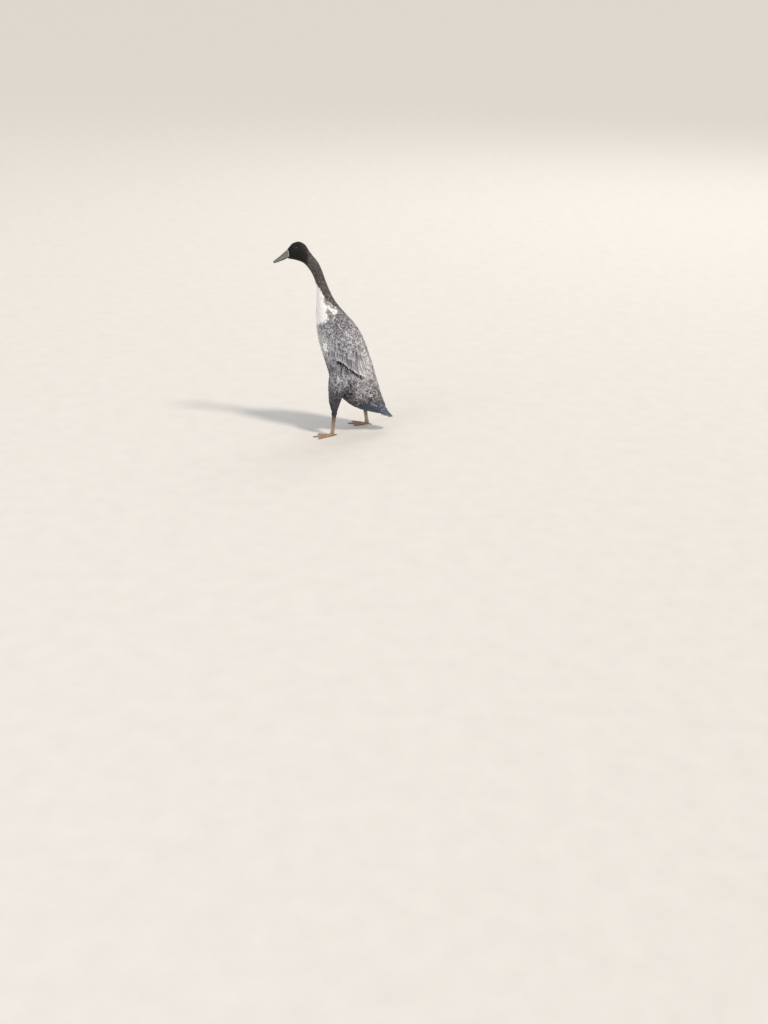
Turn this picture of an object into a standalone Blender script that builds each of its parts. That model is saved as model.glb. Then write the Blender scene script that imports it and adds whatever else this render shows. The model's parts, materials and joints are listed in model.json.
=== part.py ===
# Indian Runner duck in mid-stride, left foot leading: a still, life-size model.
# Metres, +Z up. The bird faces -Y, its left side is +X, and the floor is z = 0.

import math

import bmesh
import bpy
import numpy as np
from mathutils import Matrix, Vector

GAP = 0.0003  # air kept between two pieces that touch

# The body as a bent tube. Each station is a chord from the belly side to the back,
# (belly y, z), (back y, z), half width and how much the section leans to its back half.
STATIONS = [
    ((0.0925, 0.0540), (0.108, 0.082), 0.0145, 0.00),  # tail root
    ((0.060, 0.062), (0.0945, 0.118), 0.0325, 0.00),  # vent
    ((0.030, 0.070), (0.087, 0.145), 0.044, 0.00),  # rump
    ((-0.004, 0.088), (0.079, 0.176), 0.052, 0.00),  # belly
    ((-0.034, 0.118), (0.070, 0.207), 0.057, 0.02),
    ((-0.0565, 0.158), (0.061, 0.236), 0.0595, 0.04),  # loin
    ((-0.0695, 0.203), (0.052, 0.264), 0.060, 0.05),
    ((-0.083, 0.246), (0.0425, 0.290), 0.059, 0.05),  # breast
    ((-0.0935, 0.286), (0.029, 0.317), 0.056, 0.05),
    ((-0.0995, 0.324), (0.011, 0.343), 0.0515, 0.04),  # shoulders
    ((-0.100, 0.357), (-0.011, 0.366), 0.044, 0.02),
    ((-0.099, 0.389), (-0.032, 0.391), 0.035, 0.00),  # neck base
    ((-0.0972, 0.418), (-0.048, 0.416), 0.0268, 0.00),
    ((-0.0965, 0.444), (-0.0595, 0.441), 0.0203, 0.00),  # neck
    ((-0.1025, 0.472), (-0.0695, 0.467), 0.0172, 0.00),
    ((-0.1135, 0.496), (-0.0795, 0.496), 0.0168, 0.00),
    ((-0.1245, 0.511), (-0.0905, 0.521), 0.0170, 0.00),  # throat
    ((-0.1315, 0.5185), (-0.1035, 0.538), 0.0174, -0.02),
    ((-0.138, 0.5228), (-0.1165, 0.5555), 0.0180, -0.05),  # back of the skull
    ((-0.146, 0.5261), (-0.1290, 0.5742), 0.0187, -0.07),  # cheek
    ((-0.1555, 0.5290), (-0.1460, 0.5832), 0.0185, -0.06),  # crown
    ((-0.166, 0.5311), (-0.1645, 0.5786), 0.0165, -0.05),  # brow
    ((-0.1755, 0.5329), (-0.1753, 0.5682), 0.0138, -0.05),  # face
    ((-0.183, 0.5340), (-0.1813, 0.5604), 0.0118, 0.00),  # bill base
]
TAIL_CUT = 1.45  # station where the tail ends and the torso begins
NECK_CUT = 10.6  # where the torso ends and the lower neck begins
MID_NECK_CUT = 13.3
HEAD_CUT = 16.6
FACE_END = 23.0
BODY_SIDES = 26
ROUNDNESS = 2.15  # 2 is an ellipse, more is boxier
WELD = 1e-6  # points closer than this are one point

# Bill, along its length from base to tip: share of the length, culmen (y, z),
# mouth line (y, z), underside (y, z) and half width
BILL_ROWS = [
    (0.00, (-0.1816, 0.5599), (-0.1827, 0.5385), (-0.1830, 0.5344), 0.0112),
    (0.20, (-0.1895, 0.5527), (-0.1890, 0.5352), (-0.1905, 0.5308), 0.0108),
    (0.42, (-0.1985, 0.5446), (-0.1968, 0.5320), (-0.1985, 0.5278), 0.0106),
    (0.62, (-0.2075, 0.5373), (-0.2055, 0.5282), (-0.2065, 0.5248), 0.0113),
    (0.80, (-0.2155, 0.5311), (-0.2130, 0.5250), (-0.2135, 0.5222), 0.0120),
    (0.92, (-0.2205, 0.5270), (-0.2185, 0.5228), (-0.2185, 0.5206), 0.0106),
    (1.00, (-0.2240, 0.5242), (-0.2228, 0.5212), (-0.2215, 0.5198), 0.0050),
]
MOUTH_GAP = 0.0005
NOSTRIL_SHARE = 0.27
NOSTRIL_SIZE = (0.0022, 0.0034, 0.0016)
NOSTRIL_HEIGHT = 0.66  # share of the way from the mouth up to the culmen
NOSTRIL_SIDE = 0.72  # share of the half width
LOWER_BILL_SHARE = 0.86  # width of the lower half beside the upper

# Eyes
EYE_RADIUS = 0.0055
EYE_PLACE = (-0.1566, 0.5665)  # y, z
EYE_BULGE = 0.0016  # how far the ball stands out of the head
EYE_OUTWARD = 0.5  # how much more to the side the eye looks than the head's own surface
LID_RING = 0.0044
LID_THICK = 0.0011
LID_SINK = 0.0002
EYE_SEARCH = (18, 22, 30, 120)  # stations and degrees between which the eye's place lies

# Legs: left leads, right trails. Each joint is (x, y, z).
LEFT_LEG = [
    (0.033, -0.022, 0.205),
    (0.0435, -0.032, 0.160),
    (0.0515, -0.0432, 0.118),
    (0.0560, -0.0465, 0.092),
    (0.0565, -0.0465, 0.074),
]
RIGHT_LEG = [
    (-0.033, 0.004, 0.190),
    (-0.0445, 0.018, 0.140),
    (-0.054, 0.034, 0.102),
    (-0.0585, 0.0415, 0.082),
    (-0.0590, 0.0430, 0.068),
]
THIGH_DEPTHS = (0.035, 0.032, 0.0202, 0.0134, 0.0078)  # front to back half size
THIGH_WIDTHS = (0.013, 0.0240, 0.0160, 0.0098, 0.0060)
SHANK_RADII = (0.0072, 0.0062, 0.0058, 0.0064)  # front to back, hock to heel
SHANK_FLATNESS = 0.76  # its width beside its depth
LEFT_HEEL = (0.0575, -0.0535, 0.0075)
RIGHT_HEEL = (-0.0605, 0.0510, 0.0075)
LEFT_TOE_YAW = 15.0  # degrees the middle toe turns out from straight ahead
RIGHT_TOE_YAW = 3.0

# Foot. Angle from the middle toe (plus is outward), length, radius at the root and tip
TOES = {
    "inner": (-29.0, 0.041, 0.0036, 0.0023),
    "middle": (0.0, 0.055, 0.0039, 0.0024),
    "outer": (26.0, 0.050, 0.0036, 0.0023),
}
HIND_TOE = (-160.0, 0.014, 0.0026, 0.0018)
WEB_THICK = 0.0012
WEB_SAG = 0.22  # how far the web's front edge is drawn back, as a share of its length
WEB_REACH = (0.12, 0.97)  # where along the toes the web starts and ends
WEB_LIFT = 0.0004  # its underside over the floor
KNUCKLE_SWELL = 0.10
TOE_SINK = 0.72  # height of a toe's middle as a share of its radius, so that it rests flat
HIND_TOE_RISE = 0.002
INSTEP = ((0.0064, 0.0), (0.0066, -0.003), (0.0060, -0.008))  # radius, height from the shank
CLAW_LENGTH = 0.0062
CLAW_RADIUS = 0.0018
HIND_CLAW = 0.6  # its length beside the others
SOLE_BLOCK = 0.3  # side of the block under the floor that cuts the soles flat

# A feather: a lens with a ridge along its quill, as (share of length, share of width)
VANE_OUTLINE = ((0.0, 0.55), (0.34, 0.92), (0.72, 1.0), (0.93, 0.70), (1.0, 0.26))
COVERT_OUTLINE = ((0.0, 0.60), (0.50, 1.0), (0.88, 0.80), (1.0, 0.28))
VANE_EDGE = 0.00026  # half the thickness at the edges
VANE_QUILL = 0.00050  # height of the ridge

# Wing, folded on the side: (share along the hem, station, degrees from the back).
# The hem is the line of the feather tips, from the breast side up to the back.
WING_HEM = [(0.0, 6.6, 121), (0.19, 6.25, 101), (0.35, 5.7, 92), (0.47, 5.3, 86),
            (0.57, 4.95, 77), (0.69, 4.5, 71), (0.88, 3.85, 56), (1.0, 3.4, 42),
            (1.12, 3.6, 29)]
WING_ROOTS = [(0.0, 8.3, 103), (0.4, 7.55, 78), (0.75, 6.7, 56), (1.0, 5.9, 38),
              (1.12, 5.9, 29)]
SHOULDER = (9.25, 77)  # station, degrees
# Height of the wing's core, from the hem (0) over the root line (1) to the shoulder (2)
WING_CORE = [(0.62, 0.0006), (0.75, 0.0019), (1.0, 0.0036), (1.3, 0.0054),
             (1.65, 0.0052), (1.92, 0.0014)]
# Tiers of feathers: how many, first and last share along the hem, root and tip between
# hem (0) and roots (1), height above the body, width and outline
WING_TIERS = [
    (11, 0.01, 1.0, 0.90, 0.00, 0.0014, 0.0180, COVERT_OUTLINE),
    (8, 0.02, 0.76, 1.25, 0.42, 0.0034, 0.0180, COVERT_OUTLINE),
    (6, 0.05, 0.80, 1.50, 0.82, 0.0053, 0.0190, COVERT_OUTLINE),
    (3, 0.86, 1.08, 1.42, 0.16, 0.0035, 0.0175, VANE_OUTLINE),
]
CORE_SINK = 0.003  # how far the core starts inside the body, before the body's room is cut
WING_ROLL = 0.075  # rise across a feather, towards the belly, so that each laps the next

# Tail. Its feathers start at the root, run down the slope and arch over like a roof.
TAIL_ROOT = (0.080, 0.092)  # y, z
TAIL_SLOPE = 43.5  # degrees below level
TAIL_PAIRS = 6
TAIL_ARCH = 52.0  # how far round the outermost feather is turned, in degrees
TAIL_STEP = 0.00088  # how much lower each feather lies than its neighbour
TAIL_FLATTEN = 5.0  # share of its turn that a feather loses for each metre along
TAIL_SHORTEN = 0.46  # how much shorter the outermost feather is, as a share
# Feathers of each kind: pairs, then root and tip as (along, height of the middle feather,
# radius of the arch), the width and the outline
TAIL_QUILLS = (6, (0.012, 0.0040, 0.016), (0.0705, 0.0015, 0.050), 0.0125, VANE_OUTLINE)
UPPER_COVERTS = (4, (0.002, 0.0130, 0.022), (0.0520, 0.0070, 0.040), 0.0150, COVERT_OUTLINE)
UNDER_COVERTS = (4, (0.010, -0.0185, 0.022), (0.0600, -0.0100, 0.040), 0.0150, COVERT_OUTLINE)

SHARP_FROM = 40  # degrees between two faces from which their edge is drawn sharp

COLOURS = {
    "head": ((0.020, 0.017, 0.017), 0.65),
    "neck": ((0.035, 0.030, 0.030), 0.75),
    "body": ((0.22, 0.21, 0.225), 0.80),
    "flight": ((0.075, 0.085, 0.115), 0.60),
    "bill": ((0.095, 0.115, 0.100), 0.38),
    "eye": ((0.012, 0.008, 0.006), 0.08),
    "leg": ((0.13, 0.085, 0.045), 0.55),
    "claw": ((0.03, 0.026, 0.022), 0.45),
}


def clear_scene():
    for obj in list(bpy.data.objects):
        bpy.data.objects.remove(obj)


def collection(name):
    made = bpy.data.collections.new(name)
    bpy.context.scene.collection.children.link(made)
    return made


def material(name):
    found = bpy.data.materials.get(name)
    if found:
        return found
    colour, roughness = COLOURS[name]
    made = bpy.data.materials.new(name)
    made.use_nodes = True
    shader = made.node_tree.nodes["Principled BSDF"]
    shader.inputs["Base Color"].default_value = (*colour, 1.0)
    shader.inputs["Roughness"].default_value = roughness
    shader.inputs["Metallic"].default_value = 0.0
    return made


def object_of(name, points, faces, group, finish):
    mesh = bpy.data.meshes.new(name)
    mesh.from_pydata([tuple(p) for p in points], [], faces)
    shape = bmesh.new()
    shape.from_mesh(mesh)
    bmesh.ops.remove_doubles(shape, verts=shape.verts, dist=WELD)
    bmesh.ops.recalc_face_normals(shape, faces=shape.faces)
    shape.to_mesh(mesh)
    shape.free()
    mesh.materials.append(material(finish))
    made = bpy.data.objects.new(name, mesh)
    group.objects.link(made)
    return made


def loft(name, rings, group, finish):
    """A closed skin through rings of equal point count, capped at both ends."""
    count = len(rings[0])
    points = [p for ring in rings for p in ring]
    faces = []
    for i in range(len(rings) - 1):
        for j in range(count):
            k = (j + 1) % count
            a, b = i * count, (i + 1) * count
            faces.append((a + j, a + k, b + k, b + j))
    last = (len(rings) - 1) * count
    faces.append(tuple(range(count)))
    faces.append(tuple(last + j for j in reversed(range(count))))
    return object_of(name, points, faces, group, finish)


def spline(rows, t):
    """Catmull-Rom through the rows of a table, at position t in rows."""
    table = np.asarray(rows, float)
    i = min(int(t), len(table) - 2)
    f = t - i
    before = table[i - 1] if i > 0 else 2 * table[0] - table[1]
    after = table[i + 2] if i + 2 < len(table) else 2 * table[-1] - table[-2]
    a, b = table[i], table[i + 1]
    return a + 0.5 * f * (
        b - before
        + f * (2 * before - 5 * a + 4 * b - after + f * (3 * (a - b) + after - before))
    )


BODY_TABLE = [(*belly, *back, half, lean) for belly, back, half, lean in STATIONS]


def body_point(station, degrees, lift=0.0):
    """A point on the body. Degrees run from the back's midline round the left side."""
    by, bz, dy, dz, half, lean = spline(BODY_TABLE, station)
    chord = math.hypot(dy - by, dz - bz)
    up = Vector((0.0, (dy - by) / chord, (dz - bz) / chord))
    angle = math.radians(degrees)
    c, s = math.cos(angle), math.sin(angle)
    c = math.copysign(abs(c) ** (2 / ROUNDNESS), c)
    s = math.copysign(abs(s) ** (2 / ROUNDNESS), s)
    centre = Vector((0.0, (by + dy) / 2, (bz + dz) / 2))
    out = up * (c * (chord / 2 + lift))
    return centre + out + Vector((s * (half * (1 + lean * c) + lift), 0.0, 0.0))


def body_ring(station, shift=0.0, lift=0.0):
    """The body's cross-section at a station, moved by shift along the body."""
    ring = [
        body_point(station, 360.0 * j / BODY_SIDES, lift) for j in range(BODY_SIDES)
    ]
    along = section_normal(station)
    return [p + along * shift for p in ring]


def section_normal(station):
    """The direction towards the head, square to the section."""
    by, bz, dy, dz = spline(BODY_TABLE, station)[:4]
    return Vector((0.0, -(dz - bz), dy - by)).normalized()


def body_part(name, start, end, steps, group, finish, swell=0.0):
    """One length of the body, half a gap short at each cut, or swollen to cut others."""
    rings = []
    for i in range(steps + 1):
        t = start + (end - start) * i / steps
        shift = 0.0
        if i == 0 and start > 0:
            shift = GAP / 2 - swell
        if i == steps and end < FACE_END:
            shift = swell - GAP / 2
        rings.append(body_ring(t, shift, swell))
    return loft(name, rings, group, finish)


def torso(name, group, swell=0.0):
    return body_part(name, TAIL_CUT, NECK_CUT, 30, group, "body", swell)


def tube_rings(path, depths, widths, sides, steps):
    """Level rings along a path, oval from front to back and from side to side."""
    rows = [(*p, d, w) for p, d, w in zip(path, depths, widths)]
    rings = []
    for i in range(steps + 1):
        x, y, z, depth, width = spline(rows, (len(rows) - 1) * i / steps)
        ring = []
        for j in range(sides):
            angle = 2 * math.pi * j / sides
            ring.append(
                Vector((
                    x + width * math.cos(angle),
                    y + depth * math.sin(angle),
                    z,
                ))
            )
        rings.append(ring)
    return rings


def apply_modifiers(obj):
    bpy.context.view_layer.update()
    graph = bpy.context.evaluated_depsgraph_get()
    mesh = bpy.data.meshes.new_from_object(obj.evaluated_get(graph), depsgraph=graph)
    obj.modifiers.clear()
    obj.data = mesh
    return obj


def keep_largest(obj):
    """Keeps only the closed surface that holds the most."""
    shape = bmesh.new()
    shape.from_mesh(obj.data)
    bmesh.ops.remove_doubles(shape, verts=shape.verts, dist=WELD)
    left = set(shape.verts)
    shells = []
    while left:
        shell, edge = set(), [next(iter(left))]
        while edge:
            vert = edge.pop()
            if vert in shell:
                continue
            shell.add(vert)
            edge.extend(e.other_vert(vert) for e in vert.link_edges)
        left -= shell
        shells.append(shell)

    def volume(shell):
        total = 0.0
        for face in {f for v in shell for f in v.link_faces}:
            corners = [loop.vert.co for loop in face.loops]
            for a, b in zip(corners[1:], corners[2:]):
                total += corners[0].dot(a.cross(b))
        return total

    shells.sort(key=volume, reverse=True)
    extra = [v for shell in shells[1:] for v in shell]
    bmesh.ops.delete(shape, geom=extra, context="VERTS")
    shape.to_mesh(obj.data)
    shape.free()
    return obj


def combine(obj, pieces, operation, solver="EXACT"):
    """Joins closed pieces to obj, or cuts them out of it, and removes them."""
    helpers = bpy.data.collections.new("helpers")
    bpy.context.scene.collection.children.link(helpers)
    for piece in pieces:
        for group in list(piece.users_collection):
            group.objects.unlink(piece)
        helpers.objects.link(piece)
    change = obj.modifiers.new(operation.lower(), "BOOLEAN")
    change.operation = operation
    change.solver = solver
    change.operand_type = "COLLECTION"
    change.collection = helpers
    apply_modifiers(obj)
    for piece in list(helpers.objects):
        bpy.data.objects.remove(piece)
    bpy.data.collections.remove(helpers)
    return keep_largest(obj)


def ball(name, centre, radii, group, finish, segments=20, rings=12):
    shape = bmesh.new()
    bmesh.ops.create_uvsphere(shape, u_segments=segments, v_segments=rings, radius=1.0)
    bmesh.ops.scale(shape, vec=radii, verts=shape.verts)
    bmesh.ops.translate(shape, vec=centre, verts=shape.verts)
    mesh = bpy.data.meshes.new(name)
    shape.to_mesh(mesh)
    shape.free()
    mesh.materials.append(material(finish))
    made = bpy.data.objects.new(name, mesh)
    group.objects.link(made)
    return made


def ring_tube(name, centre, facing, radius, thick, group, finish):
    """A closed torus lying square to facing."""
    turn = facing.to_track_quat("Z", "Y")
    points, faces = [], []
    around, across = 16, 5
    for i in range(around):
        a = 2 * math.pi * i / around
        for j in range(across):
            b = 2 * math.pi * j / across
            r = radius + thick * math.cos(b)
            local = Vector((r * math.cos(a), r * math.sin(a), thick * math.sin(b)))
            points.append(centre + turn @ local)
    for i in range(around):
        for j in range(across):
            a, b = i * across, ((i + 1) % around) * across
            k = (j + 1) % across
            faces.append((a + j, b + j, b + k, a + k))
    return object_of(name, points, faces, group, finish)


def eye_seat(side):
    """The point of the head over the eye's middle, and the way the eye looks."""
    y, z = EYE_PLACE
    first, last, low, high = EYE_SEARCH
    spots = [(s / 20, a / 2) for s in range(20 * first, 20 * last)
             for a in range(2 * low, 2 * high)]
    station, degrees = min(spots, key=lambda s: (body_point(*s).yz - Vector((y, z))).length)
    spot = body_point(station, degrees)
    forward = body_point(station + 0.2, degrees) - body_point(station - 0.2, degrees)
    around = body_point(station, degrees + 4) - body_point(station, degrees - 4)
    normal = forward.cross(around).normalized()
    if normal.x < 0:
        normal = -normal
    look = (normal + Vector((EYE_OUTWARD, 0, 0))).normalized()
    return Vector((side * spot.x, spot.y, spot.z)), Vector((side * look.x, look.y, look.z))


def eye_centre(side):
    spot, look = eye_seat(side)
    return spot - look * (EYE_RADIUS - EYE_BULGE)


def make_head(group):
    head = body_part("head", HEAD_CUT, FACE_END, 22, group, "head")
    lids, balls = [], []
    for side in (1, -1):
        spot, look = eye_seat(side)
        rim = spot - look * LID_SINK
        lids.append(ring_tube("lid", rim, look, LID_RING, LID_THICK, group, "head"))
        socket = EYE_RADIUS + GAP
        balls.append(ball("socket", eye_centre(side), (socket,) * 3, group, "head", 16, 10))
    combine(head, lids, "UNION")
    combine(head, balls, "DIFFERENCE")
    for side, name in ((1, "eye_left"), (-1, "eye_right")):
        ball(name, eye_centre(side), (EYE_RADIUS,) * 3, group, "eye", 16, 10)


def bill_row(t):
    rows = [(*top, *mouth, *under, half) for _, top, mouth, under, half in BILL_ROWS]
    shares = [row[0] for row in BILL_ROWS]
    place = float(np.interp(t, shares, range(len(shares))))
    return spline(rows, place)


def upper_bill_ring(t, ahead):
    ty, tz, my, mz, _, _, half = bill_row(t)
    top = Vector((0, ty, tz))
    base = Vector((0, my, mz))
    rise = top - base
    level = MOUTH_GAP / 2 / rise.length
    # (share of the half width, share of the height), from one edge over the culmen
    profile = [(1.0, level), (1.0, 0.22), (0.86, 0.52), (0.56, 0.86), (0.24, 1.0)]
    profile += [(-w, h) for w, h in reversed(profile)]
    return [
        base + rise * h + Vector((w * half, -ahead, 0.0)) for w, h in profile
    ]


def lower_bill_ring(t, ahead):
    _, _, my, mz, uy, uz, half = bill_row(t)
    base = Vector((0, my, mz))
    fall = Vector((0, uy, uz)) - base
    level = MOUTH_GAP / 2 / fall.length
    half *= LOWER_BILL_SHARE
    profile = [(1.0, level), (0.92, 0.55), (0.45, 1.0)]
    profile += [(-w, h) for w, h in reversed(profile)]
    return [
        base + fall * h + Vector((w * half, -ahead, 0.0)) for w, h in profile
    ]


def make_bill(group):
    steps = 14
    shares = [1 - (1 - i / steps) ** 1.15 for i in range(steps + 1)]
    upper = loft(
        "bill_upper", [upper_bill_ring(t, GAP) for t in shares], group, "bill"
    )
    loft("bill_lower", [lower_bill_ring(t, GAP) for t in shares], group, "bill")
    pits = []
    for side in (1, -1):
        ty, tz, my, mz, _, _, half = bill_row(NOSTRIL_SHARE)
        place = Vector((0.0, my, mz)).lerp(Vector((0.0, ty, tz)), NOSTRIL_HEIGHT)
        place.x = side * half * NOSTRIL_SIDE
        pits.append(ball("pit", place, NOSTRIL_SIZE, group, "bill", 10, 6))
    combine(upper, pits, "DIFFERENCE")


def vane(outline, width, place, group, finish):
    """A feather. place(share of length, sideways, height) gives its points."""
    points, faces = [], []
    for share, spread in outline:
        half = spread * width / 2
        for across, top in ((-half, VANE_EDGE), (0.0, VANE_QUILL), (half, VANE_EDGE)):
            points.append(place(share, across, top))
            points.append(place(share, across, -VANE_EDGE))
    for a in range(0, 6 * (len(outline) - 1), 6):
        b = a + 6
        for j in (0, 2):
            # Both faces are split along the same diagonal.
            faces += [(a + j, a + j + 2, b + j + 2), (a + j, b + j + 2, b + j)]
            faces += [(a + j + 1, b + j + 3, a + j + 3), (a + j + 1, b + j + 1, b + j + 3)]
        faces += [(a, b, b + 1, a + 1), (a + 4, a + 5, b + 5, b + 4)]
    for a in (0, 6 * (len(outline) - 1)):
        faces += [(a, a + 1, a + 3, a + 2), (a + 2, a + 3, a + 5, a + 4)]
    return object_of("vane", points, faces, group, finish)


def hem_and_root(u):
    ends = []
    for line in (WING_HEM, WING_ROOTS):
        shares, stations, angles = zip(*line)
        ends.append((np.interp(u, shares, stations), np.interp(u, shares, angles)))
    return ends


def wing_place(u, v):
    """Station and degrees on the wing. v is 0 at the hem, 1 at the roots, 2 at the shoulder."""
    hem, root = (np.array(end) for end in hem_and_root(u))
    if v <= 1:
        return hem + (root - hem) * v
    return root + (np.array(SHOULDER) - root) * (v - 1)


def wing_vane(u, root_v, tip_v, height, width, outline, side, group):
    def place(share, across, top):
        station, degrees = wing_place(u, root_v + (tip_v - root_v) * share)
        lift = height + WING_ROLL * across + top
        step = (body_point(station, degrees + 1) - body_point(station, degrees)).length
        point = body_point(station, degrees + across / step, lift)
        return Vector((side * point.x, point.y, point.z))

    return vane(outline, width, place, group, "flight")


def mirrored(points):
    return [Vector((-p.x, p.y, p.z)) for p in points]


def sheet(name, rows, columns, outer, inner, side, group, finish):
    """A closed pad between two grids of points, outer(i, j) and inner(i, j)."""
    points = [outer(i / rows, j / columns) for i in range(rows + 1) for j in range(columns + 1)]
    points += [inner(i / rows, j / columns) for i in range(rows + 1) for j in range(columns + 1)]
    if side < 0:
        points = mirrored(points)
    wide = columns + 1
    back = (rows + 1) * wide
    faces = []
    for i in range(rows):
        for j in range(columns):
            a = i * wide + j
            quad = (a, a + 1, a + wide + 1, a + wide)
            faces.append(quad)
            faces.append(tuple(back + k for k in reversed(quad)))
    rim = [j for j in range(columns)]
    rim += [i * wide + columns for i in range(rows)]
    rim += [rows * wide + j for j in range(columns, 0, -1)]
    rim += [i * wide for i in range(rows, 0, -1)]
    for a, b in zip(rim, rim[1:] + rim[:1]):
        faces.append((a, back + a, back + b, b))
    return object_of(name, points, faces, group, finish)


def make_wing(side, name, group):
    places, heights = zip(*WING_CORE)

    def outer(q, r):
        v = places[0] + (places[-1] - places[0]) * q
        rim = 0.25 + 0.75 * math.sin(math.pi * (0.06 + 0.88 * r)) ** 0.5
        return body_point(*wing_place(r, v), float(np.interp(v, places, heights)) * rim)

    def inner(q, r):
        v = places[0] + (places[-1] - places[0]) * q
        return body_point(*wing_place(r, v), -CORE_SINK)

    wing = sheet(name, 5, 6, outer, inner, side, group, "body")
    vanes = []
    for count, first, last, root_v, tip_v, height, width, outline in WING_TIERS:
        for i in range(count):
            u = first + (last - first) * i / (count - 1)
            vanes.append(
                wing_vane(u, root_v, tip_v, height, width, outline, side, group)
            )
    combine(wing, vanes, "UNION")
    room = [torso("torso_room", group, GAP), thigh(side, "thigh_room", group, GAP)]
    combine(wing, room, "DIFFERENCE")


def tail_vane(kind, turn, drop, group):
    """A tail feather, turned round the arch by some degrees and lowered by drop."""
    _, root, tip, width, outline = kind
    slope = math.radians(TAIL_SLOPE)
    along = Vector((0, math.cos(slope), -math.sin(slope)))
    up = Vector((0, math.sin(slope), math.cos(slope)))
    sideways = Vector((1, 0, 0))
    length = 1 - TAIL_SHORTEN * (turn / TAIL_ARCH) ** 2

    def place(share, across, top):
        reach, level, radius = (a + (b - a) * share for a, b in zip(root, tip))
        angle = math.radians(turn) * (1 - TAIL_FLATTEN * reach)
        out = sideways * math.sin(angle) + up * math.cos(angle)
        centre = Vector((0, *TAIL_ROOT)) + along * (reach * (1 + (length - 1) * share))
        centre += up * (level - radius) + out * (radius - drop + top)
        return centre + (sideways * math.cos(angle) - up * math.sin(angle)) * across

    return vane(outline, width, place, group, "flight")


def tail_fan(kind, step, group):
    """One row of tail feathers, each a step below the one nearer the middle."""
    vanes = []
    for i in range(kind[0]):
        turn = TAIL_ARCH * (i + 0.5) / (TAIL_PAIRS - 0.5)
        vanes.append(tail_vane(kind, turn, step * (i + (1 if i else 0)), group))
        vanes.append(tail_vane(kind, -turn, step * (i + 1), group))
    return vanes


def make_tail(group):
    vanes = tail_fan(TAIL_QUILLS, TAIL_STEP, group)
    vanes += tail_fan(UPPER_COVERTS, TAIL_STEP, group)
    vanes += tail_fan(UNDER_COVERTS, -TAIL_STEP, group)
    tail = body_part("tail", 0.0, TAIL_CUT + 0.3, 5, group, "flight")
    combine(tail, vanes, "UNION")
    combine(tail, [torso("torso_room", group, GAP)], "DIFFERENCE")


def leg_path(side):
    return LEFT_LEG if side > 0 else RIGHT_LEG


def thigh(side, name, group, swell=0.0):
    depths = [d + swell for d in THIGH_DEPTHS]
    widths = [w + swell for w in THIGH_WIDTHS]
    return loft(name, tube_rings(leg_path(side), depths, widths, 18, 12), group, "body")


def make_thigh(side, name, group):
    made = thigh(side, name, group)
    combine(made, [torso("torso_room", group, GAP)], "DIFFERENCE")


def heel_of(side):
    x, y, z = LEFT_HEEL if side > 0 else RIGHT_HEEL
    return Vector((x, y, z))


def make_shank(side, name, group):
    x, y, z = leg_path(side)[-1]
    hock = Vector((x, y, z - GAP))
    heel = heel_of(side)
    rings = []
    steps = 8
    for i in range(steps + 1):
        t = i / steps
        radius = float(np.interp(t, (0, 0.25, 0.75, 1), SHANK_RADII))
        centre = hock.lerp(heel, t)
        rings.append([
            centre + Vector((radius * SHANK_FLATNESS * math.cos(a), radius * math.sin(a), 0))
            for a in (2 * math.pi * j / 12 for j in range(12))
        ])
    return loft(name, rings, group, "leg")


def toe_direction(side, degrees, yaw):
    turn = math.radians(degrees + yaw) * side
    return Vector((math.sin(turn), -math.cos(turn), 0.0))


def toe_rings(heel, direction, length, thick, thin, raise_by=0.0):
    """A toe with two knuckles, resting on the floor and sunk a little below it."""
    rings = []
    steps = 8
    side_way = Vector((-direction.y, direction.x, 0.0))
    for i in range(steps + 1):
        t = i / steps
        knuckle = 1 + KNUCKLE_SWELL * math.cos(2 * math.pi * (t * 3 + 0.5))
        radius = (thick + (thin - thick) * t) * knuckle
        base = Vector((heel.x, heel.y, 0.0)) + direction * (length * t)
        height = radius * TOE_SINK + raise_by * (1 - t)
        rings.append([
            base + side_way * (radius * math.cos(a)) + Vector((0, 0, height + radius * math.sin(a)))
            for a in (2 * math.pi * (j + 0.5) / 10 for j in range(10))
        ])
    return rings


def web(side, yaw, first, second, group):
    """The skin between two toes, with its front edge drawn back in a curve."""
    heel = heel_of(side)
    ends = []
    for toe in (first, second):
        degrees, length = TOES[toe][:2]
        ends.append((toe_direction(side, degrees, yaw), length * WEB_REACH[1]))

    def place(a, b, height):
        reach = b * (1 - WEB_SAG * math.sin(math.pi * a))
        one = ends[0][0] * (ends[0][1] * reach)
        two = ends[1][0] * (ends[1][1] * reach)
        flat = one.lerp(two, a) + Vector((heel.x, heel.y, 0.0))
        return flat + Vector((0, 0, height))

    # The grid starts a little ahead of the heel, where its rows would meet in a point.
    def top(q, r):
        return place(r, WEB_REACH[0] + (1 - WEB_REACH[0]) * q, WEB_LIFT + WEB_THICK)

    def under(q, r):
        return place(r, WEB_REACH[0] + (1 - WEB_REACH[0]) * q, WEB_LIFT)

    return sheet("web", 6, 6, top, under, 1, group, "leg")


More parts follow.
